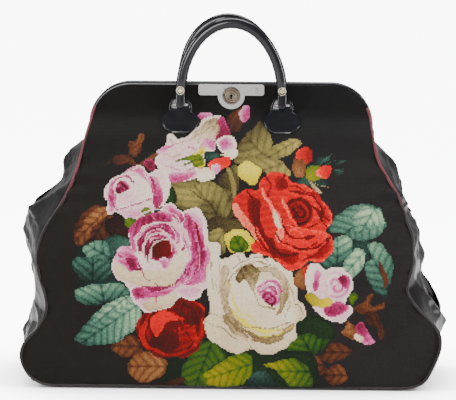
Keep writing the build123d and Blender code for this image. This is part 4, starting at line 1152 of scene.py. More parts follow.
THREADS = (
    # ivory rose
    Thread(W.IVORY, 0.25, 1.3, (-2, 116, 12, 131, 31, 138, 49, 136)),
    Thread(W.IVORY, 0.35, 1.3, (-20, 138, -18, 116, -17, 106)),
    Thread(W.IVORY, 0.25, 1.4, (27, 106, 34, 91, 49, 89)),
    Thread(W.IVORY, 0.3, 1.4, (2, 80, 20, 69, 45, 68, 70, 77)),
    Thread(W.IVORY, 0.3, 1.2, (-24, 73, -6, 66, 9, 55)),
    Thread(W.GOLD, 0.95, 1.6, (1, 116, 3, 102, 11, 86, 27, 76)),
    Thread(W.IVORY, 0.35, 1.4, (-4, 120, -7, 108, -5, 98, -2, 90)),
    Thread(W.IVORY, 0.2, 2.0, (-3, 80, 4, 70, 12, 63, 20, 58)),
    Thread(W.IVORY, 0.4, 1.2, (62, 100, 66, 94, 64, 86, 60, 80)),
    Thread(W.OLIVE, 0.5, 1.1, (20, 126, 26, 130, 33, 128)),
    Thread(W.OLIVE, 0.5, 1.0, (22, 117, 28, 122)),
    Thread(W.OLIVE, 0.5, 1.1, (38, 134, 46, 136, 52, 132)),
    Thread(W.IVORY, 0.35, 1.2, (58, 126, 64, 118, 68, 108, 70, 98)),
    Thread(W.GOLD, 0.8, 1.3, (26, 62, 40, 58, 56, 61, 68, 69)),
    Thread(W.IVORY, 0.45, 1.2, (10, 144, 14, 136, 10, 128)),
    Thread(W.IVORY, 0.5, 1.2, (-12, 146, -10, 130, -13, 114, -11, 100)),
    Thread(W.IVORY, 0.45, 1.2, (-22, 84, -12, 80, -4, 74)),
    Thread(W.IVORY, 0.3, 1.2, (22, 44, 25, 52, 27, 57)),
    Thread(W.IVORY, 0.45, 1.1, (46, 40, 48, 48)),
    Thread(W.IVORY, 0.35, 1.4, (72, 73, 62, 67, 52, 65)),
    Thread(W.IVORY, 1.0, 1.5, (0, 120, 7, 133, 20, 140, 35, 140, 49, 134, 59, 125)),
    Thread(W.IVORY, 0.4, 1.2, (23, 118, 29, 126, 40, 128, 51, 122, 56, 111)),
    Thread(W.IVORY, 0.3, 1.1, (4, 132, 14, 139, 28, 143, 42, 140)),
    Thread(W.ROSE, 0.4, 1.4, (33, 112, 41, 118, 51, 116, 57, 107)),
    Thread(W.ROSE, 0.3, 1.3, (35, 106, 41, 111, 49, 111, 53, 104)),
    Thread(W.ROSE, 0.9, 1.2, (36, 108, 44, 114, 53, 111)),
    # great pink rose
    Thread(W.ROSE, 0.97, 1.6, (-98, 151, -96, 167, -86, 177, -73, 179, -62, 173, -57, 160)),
    Thread(W.ROSE, 0.92, 1.4, (-93, 147, -90, 163, -80, 171, -69, 169, -63, 160, -62, 149)),
    Thread(W.ROSE, 0.85, 1.2, (-87, 153, -84, 161, -75, 164, -67, 160)),
    Thread(W.ROSE, 0.97, 1.8, (-100, 184, -89, 191, -75, 192, -60, 189, -52, 179)),
    Thread(W.ROSE, 0.2, 1.4, (-97, 134, -89, 120, -73, 111, -57, 116, -46, 130)),
    Thread(W.ROSE, 0.35, 1.2, (-78, 100, -77, 91, -79, 86)),
    Thread(W.ROSE, 0.2, 1.8, (-96, 146, -96, 160, -88, 169, -74, 173, -61, 168)),
    Thread(W.ROSE, 0.97, 1.9, (-99, 148, -100, 164, -91, 175, -76, 180, -61, 176)),
    Thread(W.ROSE, 0.97, 1.6, (-90, 140, -92, 156, -84, 165, -74, 168, -63, 165)),
    Thread(W.ROSE, 0.1, 1.6, (-86, 136, -88, 150, -81, 159, -70, 162, -60, 160)),
    Thread(W.ROSE, 1.0, 1.9, (-85, 140, -84, 152, -76, 160, -64, 161, -56, 156)),
    Thread(W.ROSE, 0.97, 3.0, (-56, 150, -52, 164, -60, 178)),
    Thread(W.ROSE, 0.25, 1.5, (-50, 150, -47, 166, -54, 180)),
    Thread(W.ROSE, 0.97, 3.4, (-45, 138, -43, 156, -49, 172, -60, 184)),
    Thread(W.ROSE, 0.35, 1.8, (-39, 138, -38, 158, -43, 174)),
    Thread(W.ROSE, 0.2, 1.5, (-37, 126, -33, 142, -36, 158)),
    Thread(W.ROSE, 1.0, 2.6, (-37, 193, -29, 184, -25, 168, -26, 152)),
    Thread(W.ROSE, 1.0, 2.8, (-14, 158, -12, 146, -16, 133, -22, 120)),
    Thread(W.ROSE, 0.25, 1.5, (-100, 112, -84, 109, -66, 110, -54, 117, -44, 127, -39, 140)),
    Thread(W.ROSE, 0.35, 1.3, (-120, 144, -112, 142, -104, 135)),
    Thread(W.ROSE, 0.45, 1.2, (-118, 138, -108, 133)),
    Thread(W.IVORY, 0.55, 1.2, (-110, 122, -94, 119, -76, 119, -62, 124)),
    Thread(W.ROSE, 0.5, 1.3, (-84, 186, -78, 182, -68, 182)),
    # pale rose on the left
    Thread(W.ROSE, 1.0, 2.0, (-132, 204, -130, 219, -120, 227, -108, 232, -99, 237)),
    Thread(W.ROSE, 0.3, 1.3, (-126, 210, -122, 222, -112, 227, -103, 222)),
    Thread(W.ROSE, 0.25, 1.8, (-85, 228, -80, 216, -82, 204, -78, 194)),
    Thread(W.ROSE, 0.97, 1.6, (-91, 231, -86, 218, -85, 206)),
    Thread(W.ROSE, 0.4, 1.2, (-120, 192, -108, 196, -96, 199, -85, 203)),
    Thread(W.ROSE, 0.25, 1.6, (-128, 206, -125, 198, -120, 192)),
    Thread(W.ROSE, 0.97, 1.8, (-75, 233, -69, 226, -66, 214, -70, 202)),
    # red rose
    Thread(W.MADDER, 0.35, 2.0, (60, 200, 74, 203, 92, 196, 100, 182)),
    Thread(W.MADDER, 0.3, 2.0, (56, 185, 60, 171, 74, 163, 92, 167)),
    Thread(W.MADDER, 0.4, 2.2, (31, 203, 27, 182, 34, 160, 49, 145)),
    Thread(W.MADDER, 0.4, 1.6, (67, 156, 81, 153, 96, 160)),
    Thread(W.RED, 0.92, 1.5, (36, 214, 40, 206, 46, 198, 52, 188, 56, 180, 66, 176, 77, 169)),
    Thread(W.RED, 0.85, 1.1, (56, 206, 62, 196, 66, 185, 72, 176)),
    Thread(W.RED, 0.12, 1.7, (64, 212, 80, 212, 92, 204, 98, 194, 98, 183)),
    Thread(W.RED, 0.25, 1.5, (58, 219, 74, 217, 90, 209)),
    Thread(W.RED, 0.15, 1.5, (84, 175, 96, 180, 105, 176)),
    Thread(W.RED, 0.12, 1.7, (50, 168, 60, 158, 78, 152, 94, 154, 105, 163)),
    Thread(W.RED, 0.05, 2.0, (43, 159, 50, 150, 60, 146, 73, 147)),
    Thread(W.RED, 0.2, 1.5, (78, 141, 90, 146, 102, 156, 109, 165)),
    Thread(W.RED, 0.4, 1.3, (70, 196, 78, 199, 84, 193, 82, 185, 74, 184, 71, 190)),
    Thread(W.RED, 0.25, 1.5, (38, 228, 43, 218, 41, 208)),
    Thread(W.RED, 0.15, 1.7, (19, 213, 26, 202, 31, 190, 30, 178)),
    Thread(W.RED, 0.2, 1.5, (58, 231, 55, 222, 60, 216)),
    Thread(W.RED, 0.2, 1.4, (104, 200, 100, 190, 106, 182)),
    Thread(W.RED, 0.3, 1.4, (28, 158, 36, 152, 46, 148)),
    # deep red rose
    Thread(W.MADDER, 1.0, 2.0, (-83, 70, -76, 80, -66, 83, -58, 79, -49, 76)),
    Thread(W.MADDER, 0.75, 1.8, (-95, 66, -91, 54, -82, 44, -70, 39)),
    Thread(W.MADDER, 0.15, 1.6, (-50, 93, -40, 88, -34, 78, -34, 65)),
    Thread(W.MADDER, 0.15, 1.5, (-47, 62, -40, 52, -43, 43)),
    Thread(W.MADDER, 0.4, 1.5, (-72, 60, -62, 63, -54, 55)),
    # open rose at the top
    Thread(W.GREEN, 0.5, 1.0, (-57, 243, -46, 247, -36, 249, -29, 253)),
    Thread(W.GREEN, 0.45, 1.0, (-50, 239, -40, 243, -32, 246)),
    Thread(W.GREEN, 0.55, 1.0, (-46, 235, -38, 238, -31, 243)),
    Thread(W.IVORY, 0.4, 1.2, (-66, 266, -58, 261, -49, 264)),
    Thread(W.ROSE, 0.6, 1.2, (-28, 263, -34, 257, -44, 258)),
    Thread(W.IVORY, 0.35, 1.3, (-46, 264, -36, 269, -25, 276, -16, 281)),
    Thread(W.ROSE, 0.7, 1.2, (-70, 239, -60, 235, -48, 234, -38, 237)),
    Thread(W.IVORY, 0.45, 1.1, (-72, 250, -62, 248, -54, 251)),
    # sprigs
    Thread(W.TEAL, 0.45, 0.9, (96, 241, 102, 247, 108, 251)),
    Thread(W.TEAL, 0.4, 0.9, (98, 238, 106, 244, 114, 246)),
    Thread(W.TEAL, 0.45, 0.9, (112, 235, 122, 237)),
    Thread(W.IVORY, 0.35, 0.9, (84, 223, 92, 216, 99, 211)),
    Thread(W.IVORY, 0.35, 0.9, (92, 222, 104, 217)),
    Thread(W.BROWN, 0.6, 1.3, (134, 88, 146, 94, 156, 91, 166, 97)),
    Thread(W.BROWN, 0.65, 1.3, (148, 92, 151, 104)),
    Thread(W.BROWN, 0.4, 1.6, (150, 88, 159, 82, 164, 72, 165, 60)),
    Thread(W.BROWN, 0.5, 1.2, (-110, 249, -104, 256, -98, 263, -93, 270)),
    Thread(W.BROWN, 0.3, 1.2, (-128, 244, -134, 238)),
    Thread(W.OLIVE, 0.8, 1.0, (-2, 236, 3, 224, 6, 210)),
    Thread(W.OLIVE, 0.2, 1.0, (-44, 214, -28, 204, -10, 186)),
)

BOUQUET = Bouquet(PATCHES, THREADS)
# ---------------------------------------------------------------- the soft body


@dataclass(frozen=True)
class BagShape:
    """Lines of the sewn body: where its seams run and how its walls stand out."""

    seams: tuple = (
        ((0, 208), (12, 215), (38, 224), (54, 217), (64, 206), (76, 199), (90, 196), (105, 199),
         (120, 204), (151, 206), (172, 199), (187, 189), (205, 178), (225, 169), (250, 162),
         (268, 157.5), (285, 153)),
        ((0, 207), (12, 213), (33, 223), (50, 228), (67, 225), (80, 213), (93, 201), (106, 192),
         (118, 192), (134, 197), (151, 196.5), (167, 197), (185, 190), (208, 182), (229, 169),
         (243, 161), (260, 156), (268, 154.5), (285, 152.5)),
    )
    puffs: tuple = (
        ((0, 1), (12, 3), (38, 5), (62, 12), (78, 18), (95, 18), (119, 16), (151, 21), (172, 28),
         (190, 31), (205, 24), (216, 18), (233, 19), (248, 15), (259, 7), (268, 1)),
        ((0, 1), (10, 3), (50, 5), (65, 9), (81, 18), (95, 27), (107, 30), (121, 22), (144, 18),
         (160, 15), (175, 8), (190, 5), (208, 9), (228, 17), (240, 17), (254, 8), (268, 1)),
    )
    depth: tuple = ((0, 79), (12, 82), (40, 86), (95, 82), (150, 75), (190, 64), (230, 50), (255, 38),
                    (271, 30), (281, 22), (290, 14.5), (298, 11.0), (306, 10.3), (327, 10.2))
    swell: tuple = ((0, 1), (40, 6), (95, 6), (150, 9), (230, 7), (262, 2), (285, 0.4), (327, 0))
    foot: float = 2.6
    corner_lift: float = 9.0
    corner_run: Line = (186.0, 226.0)
    arch_foot: float = 284.0
    arch_half: float = 152.6
    arch_top: float = 324.0
    arch_corner: float = 43.0
    calm: Line = (240.0, 285.0)
    pucker_rise: float = 1.3
    pucker_pitch: float = 4.6
    pucker_reach: float = 16.0
    drag_rise: float = 1.2
    sag_depth: float = 0.96
    sag_middle: float = 22.0
    sag_half: float = 11.0

    def seam(self, side: int, z: np.ndarray) -> np.ndarray:
        """Half width of the seam at each height, following the frame's corner at the top.

        Args:
            side: -1 for the left seam, 1 for the right.
            z: Heights.

        Returns:
            Distances from the middle of the bag.
        """
        line = smooth_line(self.seams[0 if side < 0 else 1], z)
        over = np.clip(np.asarray(z, float) - (self.arch_top - self.arch_corner), 0, self.arch_corner)
        corner = self.arch_corner - np.sqrt(np.maximum(self.arch_corner**2 - over**2, 0))
        return np.where(np.asarray(z) > self.arch_foot, np.minimum(line, self.arch_half), line) - corner

    def half_depth(self, z: np.ndarray) -> np.ndarray:
        """How far the seams stand from the middle plane."""
        return smooth_line(self.depth, z)

    def puff(self, side: int, z: np.ndarray) -> np.ndarray:
        """How far the middle of a gusset stands past its seams."""
        return smooth_line(self.puffs[0 if side < 0 else 1], z)

    def face(self, x: np.ndarray, z: np.ndarray) -> np.ndarray:
        """How far a wall stands from the middle plane, with its puckers, drag lines and sag.

        Args:
            x: Places across the wall.
            z: Places up the wall.

        Returns:
            One distance per place.
        """
        wide = np.where(x < 0, self.seam(-1, z), self.seam(1, z))
        share = np.clip(np.abs(x) / np.maximum(wide, 1), 0, 1)
        bow = smooth_line(self.swell, z) * (1 - share**2)
        edge = np.exp(-((1 - share) * wide / self.pucker_reach))
        shift = np.where(x < 0, 0.7, -0.4)
        pucker = self.pucker_rise * edge * np.sin(z / self.pucker_pitch + 2.2 * np.sin(z / 17.0) + shift)
        drag = self.drag_rise * np.sin(x / 47 + z / 61 + shift) * np.sin(z / 52 + 0.5)
        sag = self.sag_depth * ridge(z - 0.03 * np.abs(x), self.sag_middle, self.sag_half)
        return self.half_depth(z) + bow + (pucker + drag - sag) * (1 - ease(z, *self.calm))

    def rise(self, x: np.ndarray) -> np.ndarray:
        """Lowest edge of a wall, which lifts towards the bottom corners."""
        return self.foot + self.corner_lift * ease(np.abs(x), *self.corner_run) ** 1.5


@dataclass(frozen=True)
class Panels:
    """Front and back walls, each one piece of cloth from the floor to the frame's rim."""

    shape: BagShape
    reach: float = 229.0
    stitch: float = 1.36
    back_step: float = 4.0
    sliver: float = 0.03
    flat: Line = (0.452, 0.342)
    area: float = 0.131
    tilt: float = math.radians(7.0)
    drawn_depth: float = 80.0
    drawn_scale: float = 0.973
    scale_by_depth: float = 0.00033

    def wall(self, name: str, way: int, step: float, finish: bpy.types.Material) -> bpy.types.Object:
        """Builds one wall on an even grid cut to the line of the seams.

        Args:
            name: Name of the piece.
            way: -1 for the front, 1 for the back.
            step: Size of one square of the grid.
            finish: Material of the wall.

        Returns:
            The wall.
        """
        shape = self.shape
        half_count = math.ceil(self.reach / step)
        across = np.arange(-half_count, half_count + 1) * step
        up = np.arange(0, shape.arch_top + step, step)
        z = np.minimum(np.broadcast_to(up[:, None], (len(up), len(across))), shape.arch_top)
        x = np.clip(across[None, :], -shape.seam(-1, z), shape.seam(1, z))
        z = np.maximum(z, shape.rise(x))
        x = np.clip(x, -shape.seam(-1, z), shape.seam(1, z))
        y = way * shape.face(x.ravel(), z.ravel())
        points = np.stack([x.ravel(), y, z.ravel()], 1)
        faces = grid_faces(len(up), len(across))
        a, b, c, d = (points[faces[:, k]] for k in range(4))
        size = np.linalg.norm(np.cross(c - a, d - b), axis=1) / 2
        faces = faces[size > self.sliver * step * step]
        if way > 0:
            faces = faces[:, ::-1]
        column, row = np.meshgrid(np.arange(len(across)), np.arange(len(up)))
        uv = np.stack([column.ravel(), row.ravel()], 1)
        used, place = np.unique(faces, return_inverse=True)
        return make_mesh(name, points[used], place.reshape(-1, 4), finish, uv[used])

    def colour(self, wall: bpy.types.Object) -> None:
        """Lays the bouquet's wools over the stitches of the front wall.

        The bouquet is drawn flat, so the places on the wall are turned to its slope and scaled by how
        far they stand forward.

        Args:
            wall: The front wall, before its points are welded.
        """
        mesh = wall.data
        middles = np.zeros(len(mesh.polygons) * 3)
        mesh.polygons.foreach_get("center", middles)
        x, y, z = middles.reshape(-1, 3).T / MM
        near = self.drawn_scale - self.scale_by_depth * y
        height = z * math.cos(self.tilt) + (y + self.drawn_depth) * math.sin(self.tilt)
        colours = BOUQUET.paint(x * near, height * near)
        loops = np.repeat(np.hstack([colours, np.ones((len(colours), 1))]), 4, axis=0)
        layer = mesh.color_attributes.new("Wool", "FLOAT_COLOR", "CORNER")
        layer.data.foreach_set("color", loops.astype(np.float32).ravel())

    def build(self) -> None:
        """Makes both walls and bakes their placement."""
        front = self.wall("needlework_front", -1, self.stitch, FINISHES.needlework)
        self.colour(front)
        back = self.wall("cloth_back", 1, self.back_step, FINISHES.back_cloth)
        for (way, word), wall, slot in zip(WAYS, (front, back), ("needlework", "black_cloth")):
            weld(wall)
            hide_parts(f"{word}_panel", f"{word}_panel_top")
            bend(wall, way, f"{word}_frame")
            LOG.info("built %s", wall.name)


@dataclass(frozen=True)
class Gussets:
    """Patent-leather ends, cut full so that they buckle into folds."""

    shape: BagShape
    rows: int = 150
    columns: int = 44
    head: float = 272.0
    head_half: float = 156.5
    neck: float = 262.0
    tab_half: float = 5.5
    tab_run: Line = (259.0, 271.0)
    seam_inset: float = 0.6
    fold_rise: float = 8.25
    fold_pitch: float = 27.0
    crease_rise: float = 3.3
    crease_pitch: float = 15.0
    lump_rise: float = 3.4
    dent_rise: float = 1.7
    flat: Line = (0.195, 0.290)
    area: float = 0.045

    def half(self, z: np.ndarray) -> np.ndarray:
        """Half width of a gusset at each height, drawn in to the hinge tab at its head.

        Args:
            z: The heights.

        Returns:
            The half widths.
        """
        seam = self.shape.half_depth(z) - self.seam_inset
        tab = ease(z, *self.tab_run)
        return seam * (1 - tab) + self.tab_half * tab

    def folds(self, side: int, way: int, z: np.ndarray, t: np.ndarray) -> np.ndarray:
        """Works out the slanting folds of one half gusset.

        Args:
            side: -1 for the left end, 1 for the right.
            way: -1 for the front half, 1 for the back half.
            z: Heights.
            t: Places across the half, 0 on the middle line and 1 on the seam.

        Returns:
            How far the leather stands out at each place.
        """
        shift = 0.35 if way < 0 else -0.5
        rising = z / self.fold_pitch + way * t * 1.9 + shift + 0.6 * np.sin(z / 38.0)
        falling = z / self.crease_pitch - way * t * 2.6 + side * 0.9 + 0.8 * np.sin(z / 29.0)
        broad, crease = 1 - np.abs(np.sin(rising)), 1 - np.abs(np.sin(falling))
        spread = np.sin(np.clip((0.12 + 0.88 * t) * math.pi, 0, math.pi)) ** 0.7
        fold = self.fold_rise * (broad**1.6 - 0.5) + self.crease_rise * (crease**2 - 0.4)
        return fold * spread * ease(z, 8, 60) * (1 - ease(z, 236, 262))

    def lumps(self, side: int, y: np.ndarray, z: np.ndarray, t: np.ndarray) -> np.ndarray:
        """Works out the small uneven swellings between the folds.

        Args:
            side: -1 for the left end, 1 for the right.
            y: Places across the gusset.
            z: Heights.
            t: Places across the half, 0 on the middle line and 1 on the seam.

        Returns:
            How far the leather stands out at each place.
        """
        places = np.stack([side * 40 + 0 * y.ravel(), y.ravel(), 0.8 * z.ravel()], 1)
        dents = np.abs(soft_noise(places, 9, 7.0))
        lumps = self.lump_rise * soft_noise(places, 24, 3.0 * side) + self.dent_rise * dents
        lumps = lumps.reshape(z.shape) * np.sin(np.clip((1 - t) * math.pi / 2, 0, 1.6)) ** 0.5
        return lumps * ease(z, 4, 30) * (1 - ease(z, 250, 268)) * (1 - t**6)

    def piece(self, name: str, side: int, way: int) -> bpy.types.Object:
        """Builds the front or back half of one gusset.

        Args:
            name: Name of the piece.
            side: -1 for the left end, 1 for the right.
            way: -1 for the front half, 1 for the back half.

        Returns:
            The half gusset, sewn edge on the seam and other edge on the middle line.
        """
        shape = self.shape
        z = np.linspace(0, self.head, self.rows)
        z = np.maximum(z, shape.rise(shape.seam(side, z)) - 1.0)[:, None]
        z, t = np.broadcast_arrays(z, np.linspace(0, 1, self.columns)[None, :])
        y = way * t * self.half(z)
        arch = np.cos(t * math.pi / 2) ** 0.75
        out = shape.seam(side, z) - 0.8 + shape.puff(side, z) * arch
        out = out + self.folds(side, way, z, t) + self.lumps(side, y, z, t)
        out = np.where(z > self.neck, np.minimum(out, self.head_half), out)
        points = np.stack([side * out.ravel(), y.ravel(), z.ravel()], 1)
        faces = grid_faces(self.rows, self.columns)
        if side * way > 0:
            faces = faces[:, ::-1]
        obj = make_mesh(name, points, faces, FINISHES.leather, np.stack([t.ravel(), z.ravel()], 1))
        weld(obj)
        return obj

    def build(self) -> None:
        """Makes the four halves and bakes their placement; each half is sewn to one frame half."""
        for side, hand in HANDS:
            for way, word in WAYS:
                obj = self.piece(f"gusset_{hand}_{word}_half", side, way)
                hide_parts(f"gusset_{hand}")
                bend(obj, way, f"{word}_frame")
                LOG.info("built %s", obj.name)


@dataclass(frozen=True)
class Piping:
    """Cord sewn into the seams round each wall."""

    shape: BagShape
    radius: float = 1.5
    head: float = 300.0
    foot: float = 14.0
    out: float = 0.3
    sunk: float = 0.9
    bottom_half: float = 205.0
    corner: Line = (214.0, 81.0, 9.0)
    step: float = 3.0

    def path(self, way: int) -> np.ndarray:
        """Line of the cord round one wall, from one end of its head to the other.

        Args:
            way: -1 for the front wall, 1 for the back one.

        Returns:
            Points along the line.
        """
        shape = self.shape
        rise = np.arange(self.head, self.foot, -self.step)
        deep = way * (shape.half_depth(rise) - self.sunk)
        left, right = (np.stack([side * (shape.seam(side, rise) + self.out), deep, rise], 1)
                       for side, _ in HANDS)
        low = np.linspace(-self.bottom_half, self.bottom_half, int(2 * self.bottom_half / self.step))
        foot = shape.rise(low) + 0.2
        bottom = np.stack([low, way * (shape.half_depth(foot) + 0.2), foot], 1)
        x, y, z = self.corner
        line = np.concatenate([left, [(-x, way * y, z)], bottom, [(x, way * y, z)], right[::-1]])
        for _ in range(3):
            line[1:-1] = (line[:-2] + 2 * line[1:-1] + line[2:]) / 4
        return line

    def build(self) -> None:
        """Makes both cords."""
        for way, word in WAYS:
            line = self.path(way)
            size = np.full(len(line), self.radius)
            obj = swept(f"{word}_seam_piping", line, size, size, FINISHES.piping, ring=10)
            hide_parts(f"{word}_piping")
            bend(obj, way, f"{word}_frame")
            LOG.info("built %s", obj.name)


@dataclass(frozen=True)
class Lining:
    """Plain lining, one half hanging in the front and one in the back."""

    shape: BagShape
    gap: float = 5.0
    floor: float = 6.2
    head: float = 309.0
    neck: float = 262.0
    neck_half: float = 138.0
    neck_inset: float = 9.0
    side_share: float = 0.16
    wave_rise: float = 1.2
    rows: int = 60
    columns: int = 56
    flat: Line = (0.600, 0.380)
    area: float = 0.165
    bend_inward: float = 0.010

    def piece(self, name: str, way: int) -> bpy.types.Object:
        """Builds the front or back half of the lining.

        Args:
            name: Name of the piece.
            way: -1 for the front half, 1 for the back half.

        Returns:
            The half lining, which follows its wall and turns in along both gussets.
        """
        shape, flat_share = self.shape, 1 - self.side_share
        z = np.linspace(self.floor, self.head, self.rows)[:, None]
        z, t = np.broadcast_arrays(z, np.linspace(-1, 1, self.columns)[None, :])
        inset = self.gap + 1 + self.neck_inset * ease(z, 165, 215)
        wide = np.where(t < 0, shape.seam(-1, z) - inset, shape.seam(1, z) - inset)
        wide = np.where(z > self.neck, np.minimum(wide, self.neck_half), wide)
        share = np.clip((1 - np.abs(t)) / self.side_share, 0, 1)
        turned_in = 1 - 0.06 * share * (np.abs(t) > flat_share)
        x = np.sign(t) * wide * turned_in * np.clip(np.abs(t) / flat_share, 0, 1)
        deep = np.maximum(shape.face(x, z) - self.gap, np.where(z > 283, 4.5, 3.0))
        waves = np.abs(self.wave_rise * np.sin(x / 9 + 1.5 * np.sin(z / 40)))
        waves = waves * ease(z, 20, 90) * (1 - ease(z, 140, 190))
        y = way * (deep * (1 - (1 - share) ** 2.2) - waves * share)
        points = np.stack([x.ravel(), y.ravel(), z.ravel()], 1)
        faces = grid_faces(self.rows, self.columns)
        obj = make_mesh(name, points, faces if way > 0 else faces[:, ::-1], FINISHES.lining)
        weld(obj)
        return obj

    def build(self) -> None:
        """Makes both halves of the lining."""
        for way, word in WAYS:
            obj = self.piece(f"lining_{word}_half", way)
            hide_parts("lining")
            bend(obj, way, f"{word}_frame", self.bend_inward)
            LOG.info("built %s", obj.name)


@dataclass(frozen=True)
class Base:
    """Patent-leather bottom, turned up a little at its edges."""

    shape: BagShape
    half_length: float = 206.0
    half_width: float = 79.5
    corner: float = 10.0
    thickness: float = 2.6
    unevenness: float = 0.25
    edge_lift: float = 1.0
    rows: int = 40
    columns: int = 90

    def build(self) -> None:
        """Makes the bottom and dresses the board above it."""
        u, v = np.meshgrid(np.linspace(-1, 1, self.columns), np.linspace(-1, 1, self.rows))
        far = np.abs(u) * self.half_length, np.abs(v) * self.half_width
        past = (np.maximum(far[0] - (self.half_length - self.corner), 0),
                np.maximum(far[1] - (self.half_width - self.corner), 0))
        over = np.hypot(*past)
        pull = np.where(over > self.corner, self.corner / np.maximum(over, 1e-6), 1)
        x, y = (np.sign(w) * (f - p * (1 - pull)) for w, f, p in zip((u, v), far, past))
        places = np.stack([x.ravel(), y.ravel(), 0 * x.ravel()], 1)
        sag = self.unevenness * (1 + soft_noise(places, 30, 5)).reshape(x.shape)
        edge = self.edge_lift * ease(np.maximum(np.abs(u), np.abs(v)), 0.94, 1.0)
        lift = self.shape.rise(x) - self.shape.foot
        low = np.stack([x, y, sag + edge + lift], -1).reshape(-1, 3)
        high = np.stack([x, y, self.thickness + lift], -1).reshape(-1, 3)
        faces = slab_faces(self.rows, self.columns, True)
        obj = make_mesh("base_leather", np.concatenate([low, high]), faces, FINISHES.leather)
        face_out(obj)
        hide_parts("base_panel")
        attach(obj, "bag")
        dress("base_board", FINISHES.board)
        for _, hand in HANDS:
            dress(f"hinge_rivet_{hand}", FINISHES.steel)
        LOG.info("built %s", obj.name)




# ---------------------------------------------------------------- frame, handles and lock


@dataclass(frozen=True)
class FrameHalves:
    """Patent leather wrapped over both pressed-steel halves of the frame."""

    half_width: float = 148.0
    top: float = 319.5
    foot: float = 279.0
    corner: float = 38.5
    half_band: float = 7.45
    half_depth: float = 4.72
    middle: float = 4.9

    def build(self) -> None:
        """Makes both covers and dresses the steel that shows at the hinges."""
        corners = [(-self.half_width, self.foot), (-self.half_width, self.top),
                   (self.half_width, self.top), (self.half_width, self.foot)]
        line = rounded_run(corners, (self.corner, self.corner), 2.5)
        for way, word in WAYS:
            path = np.stack([line[:, 0], np.full(len(line), way * self.middle), line[:, 1]], 1)
            pull = soft_noise(path, 19, 2.0 * way)
            obj = swept(f"{word}_frame_leather", path, self.half_band + 0.12 * pull,
                        self.half_depth + 0.1 * pull, FINISHES.strap, square=5.5, ring=28)
            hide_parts(f"{word}_frame_cover")
            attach(obj, f"{word}_frame")
            dress(f"{word}_frame_rail", FINISHES.steel)
            LOG.info("built %s", obj.name)


@dataclass(frozen=True)
class Anchors:
    """Gourd-shaped leather patches that hold the metal loops of the handles."""

    shape: BagShape
    place: float = 55.5
    upper: Line = (298.7, 13.0)
    lower: Line = (285.0, 20.7, 13.0)
    thickness: float = 1.7
    roll: float = 1.2
    bead_rise: float = 0.55
    bead_at: float = 1.1
    seam_at: float = 3.0
    groove_depth: float = 0.45
    stitch_rise: float = 0.35
    dome_rise: float = 0.7
    sunk: float = 0.3
    rows: int = 60
    columns: int = 40

    def half(self, z: np.ndarray) -> np.ndarray:
        """Half width of the patch at each height: a small lobe over a wide one.

        Args:
            z: The heights.

        Returns:
            The half widths.
        """
        high, round_size = self.upper
        low, wide, tall = self.lower
        top = np.sqrt(np.maximum(1 - ((z - high) / round_size) ** 2, 0)) * round_size
        foot = np.sqrt(np.maximum(1 - ((z - low) / tall) ** 2, 0)) * wide
        return np.maximum(top, foot)

    def relief(self, rim: np.ndarray, along: np.ndarray) -> np.ndarray:
        """Works out the rolled rim, the sewn groove and the dome of a patch.

        Args:
            rim: How far each place lies inside the outline.
            along: A measure that runs on along the seam, which spaces the stitches.

        Returns:
            How far the leather stands out from the wall.
        """
        rise = self.thickness * np.sqrt(np.clip(rim / self.roll, 0, 1))
        bead = self.bead_rise * ridge(rim, self.bead_at, 0.8)
        groove = self.groove_depth * ridge(rim, self.seam_at, 0.6)
        stitch = self.stitch_rise * ridge(rim, self.seam_at, 0.55) * (np.sin(along * 2.6) > 0)
        return rise + bead - groove + stitch + self.dome_rise * ease(rim, 3.5, 10)

    def piece(self, name: str, way: int, side: int) -> bpy.types.Object:
        """Builds one patch as a domed skin with a rolled rim and a row of stitches.

        Args:
            name: Name of the piece.
            way: -1 for the front, 1 for the back.
            side: -1 for the left patch, 1 for the right.

        Returns:
            The patch.
        """
        low, high = self.lower[0] - self.lower[2], self.upper[0] + self.upper[1]
        turn = np.linspace(0, math.pi, self.rows)
        z = (low + high) / 2 - np.cos(turn) * (high - low) / 2
        t = np.sin(np.linspace(-math.pi / 2, math.pi / 2, self.columns))
        z, t = np.broadcast_arrays(z[:, None], t[None, :])
        wide = np.maximum(self.half(z), 0.02)
        x = side * self.place + t * wide
        rim = np.minimum((1 - np.abs(t)) * wide, np.minimum(z - low, high - z))
        wall = self.shape.face(x.ravel(), z.ravel()).reshape(x.shape) - self.sunk
        skins = (way * (wall + self.relief(rim, z + x)), way * (wall - 0.2))
        points = np.concatenate([np.stack([x.ravel(), y.ravel(), z.ravel()], 1) for y in skins])
        obj = make_mesh(name, points, slab_faces(self.rows, self.columns, False), FINISHES.strap)
        weld(obj)
        face_out(obj)
        return obj

    def build(self) -> None:
        """Makes the four patches and dresses their loops."""
        for way, word in WAYS:
            for side, hand in HANDS:
                obj = self.piece(f"{word}_patch_{hand}", way, side)
                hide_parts(f"{word}_anchor_{hand}")
                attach(obj, f"{word}_frame")
                dress(f"{word}_loop_{hand}", FINISHES.nickel)
                LOG.info("built %s", obj.name)


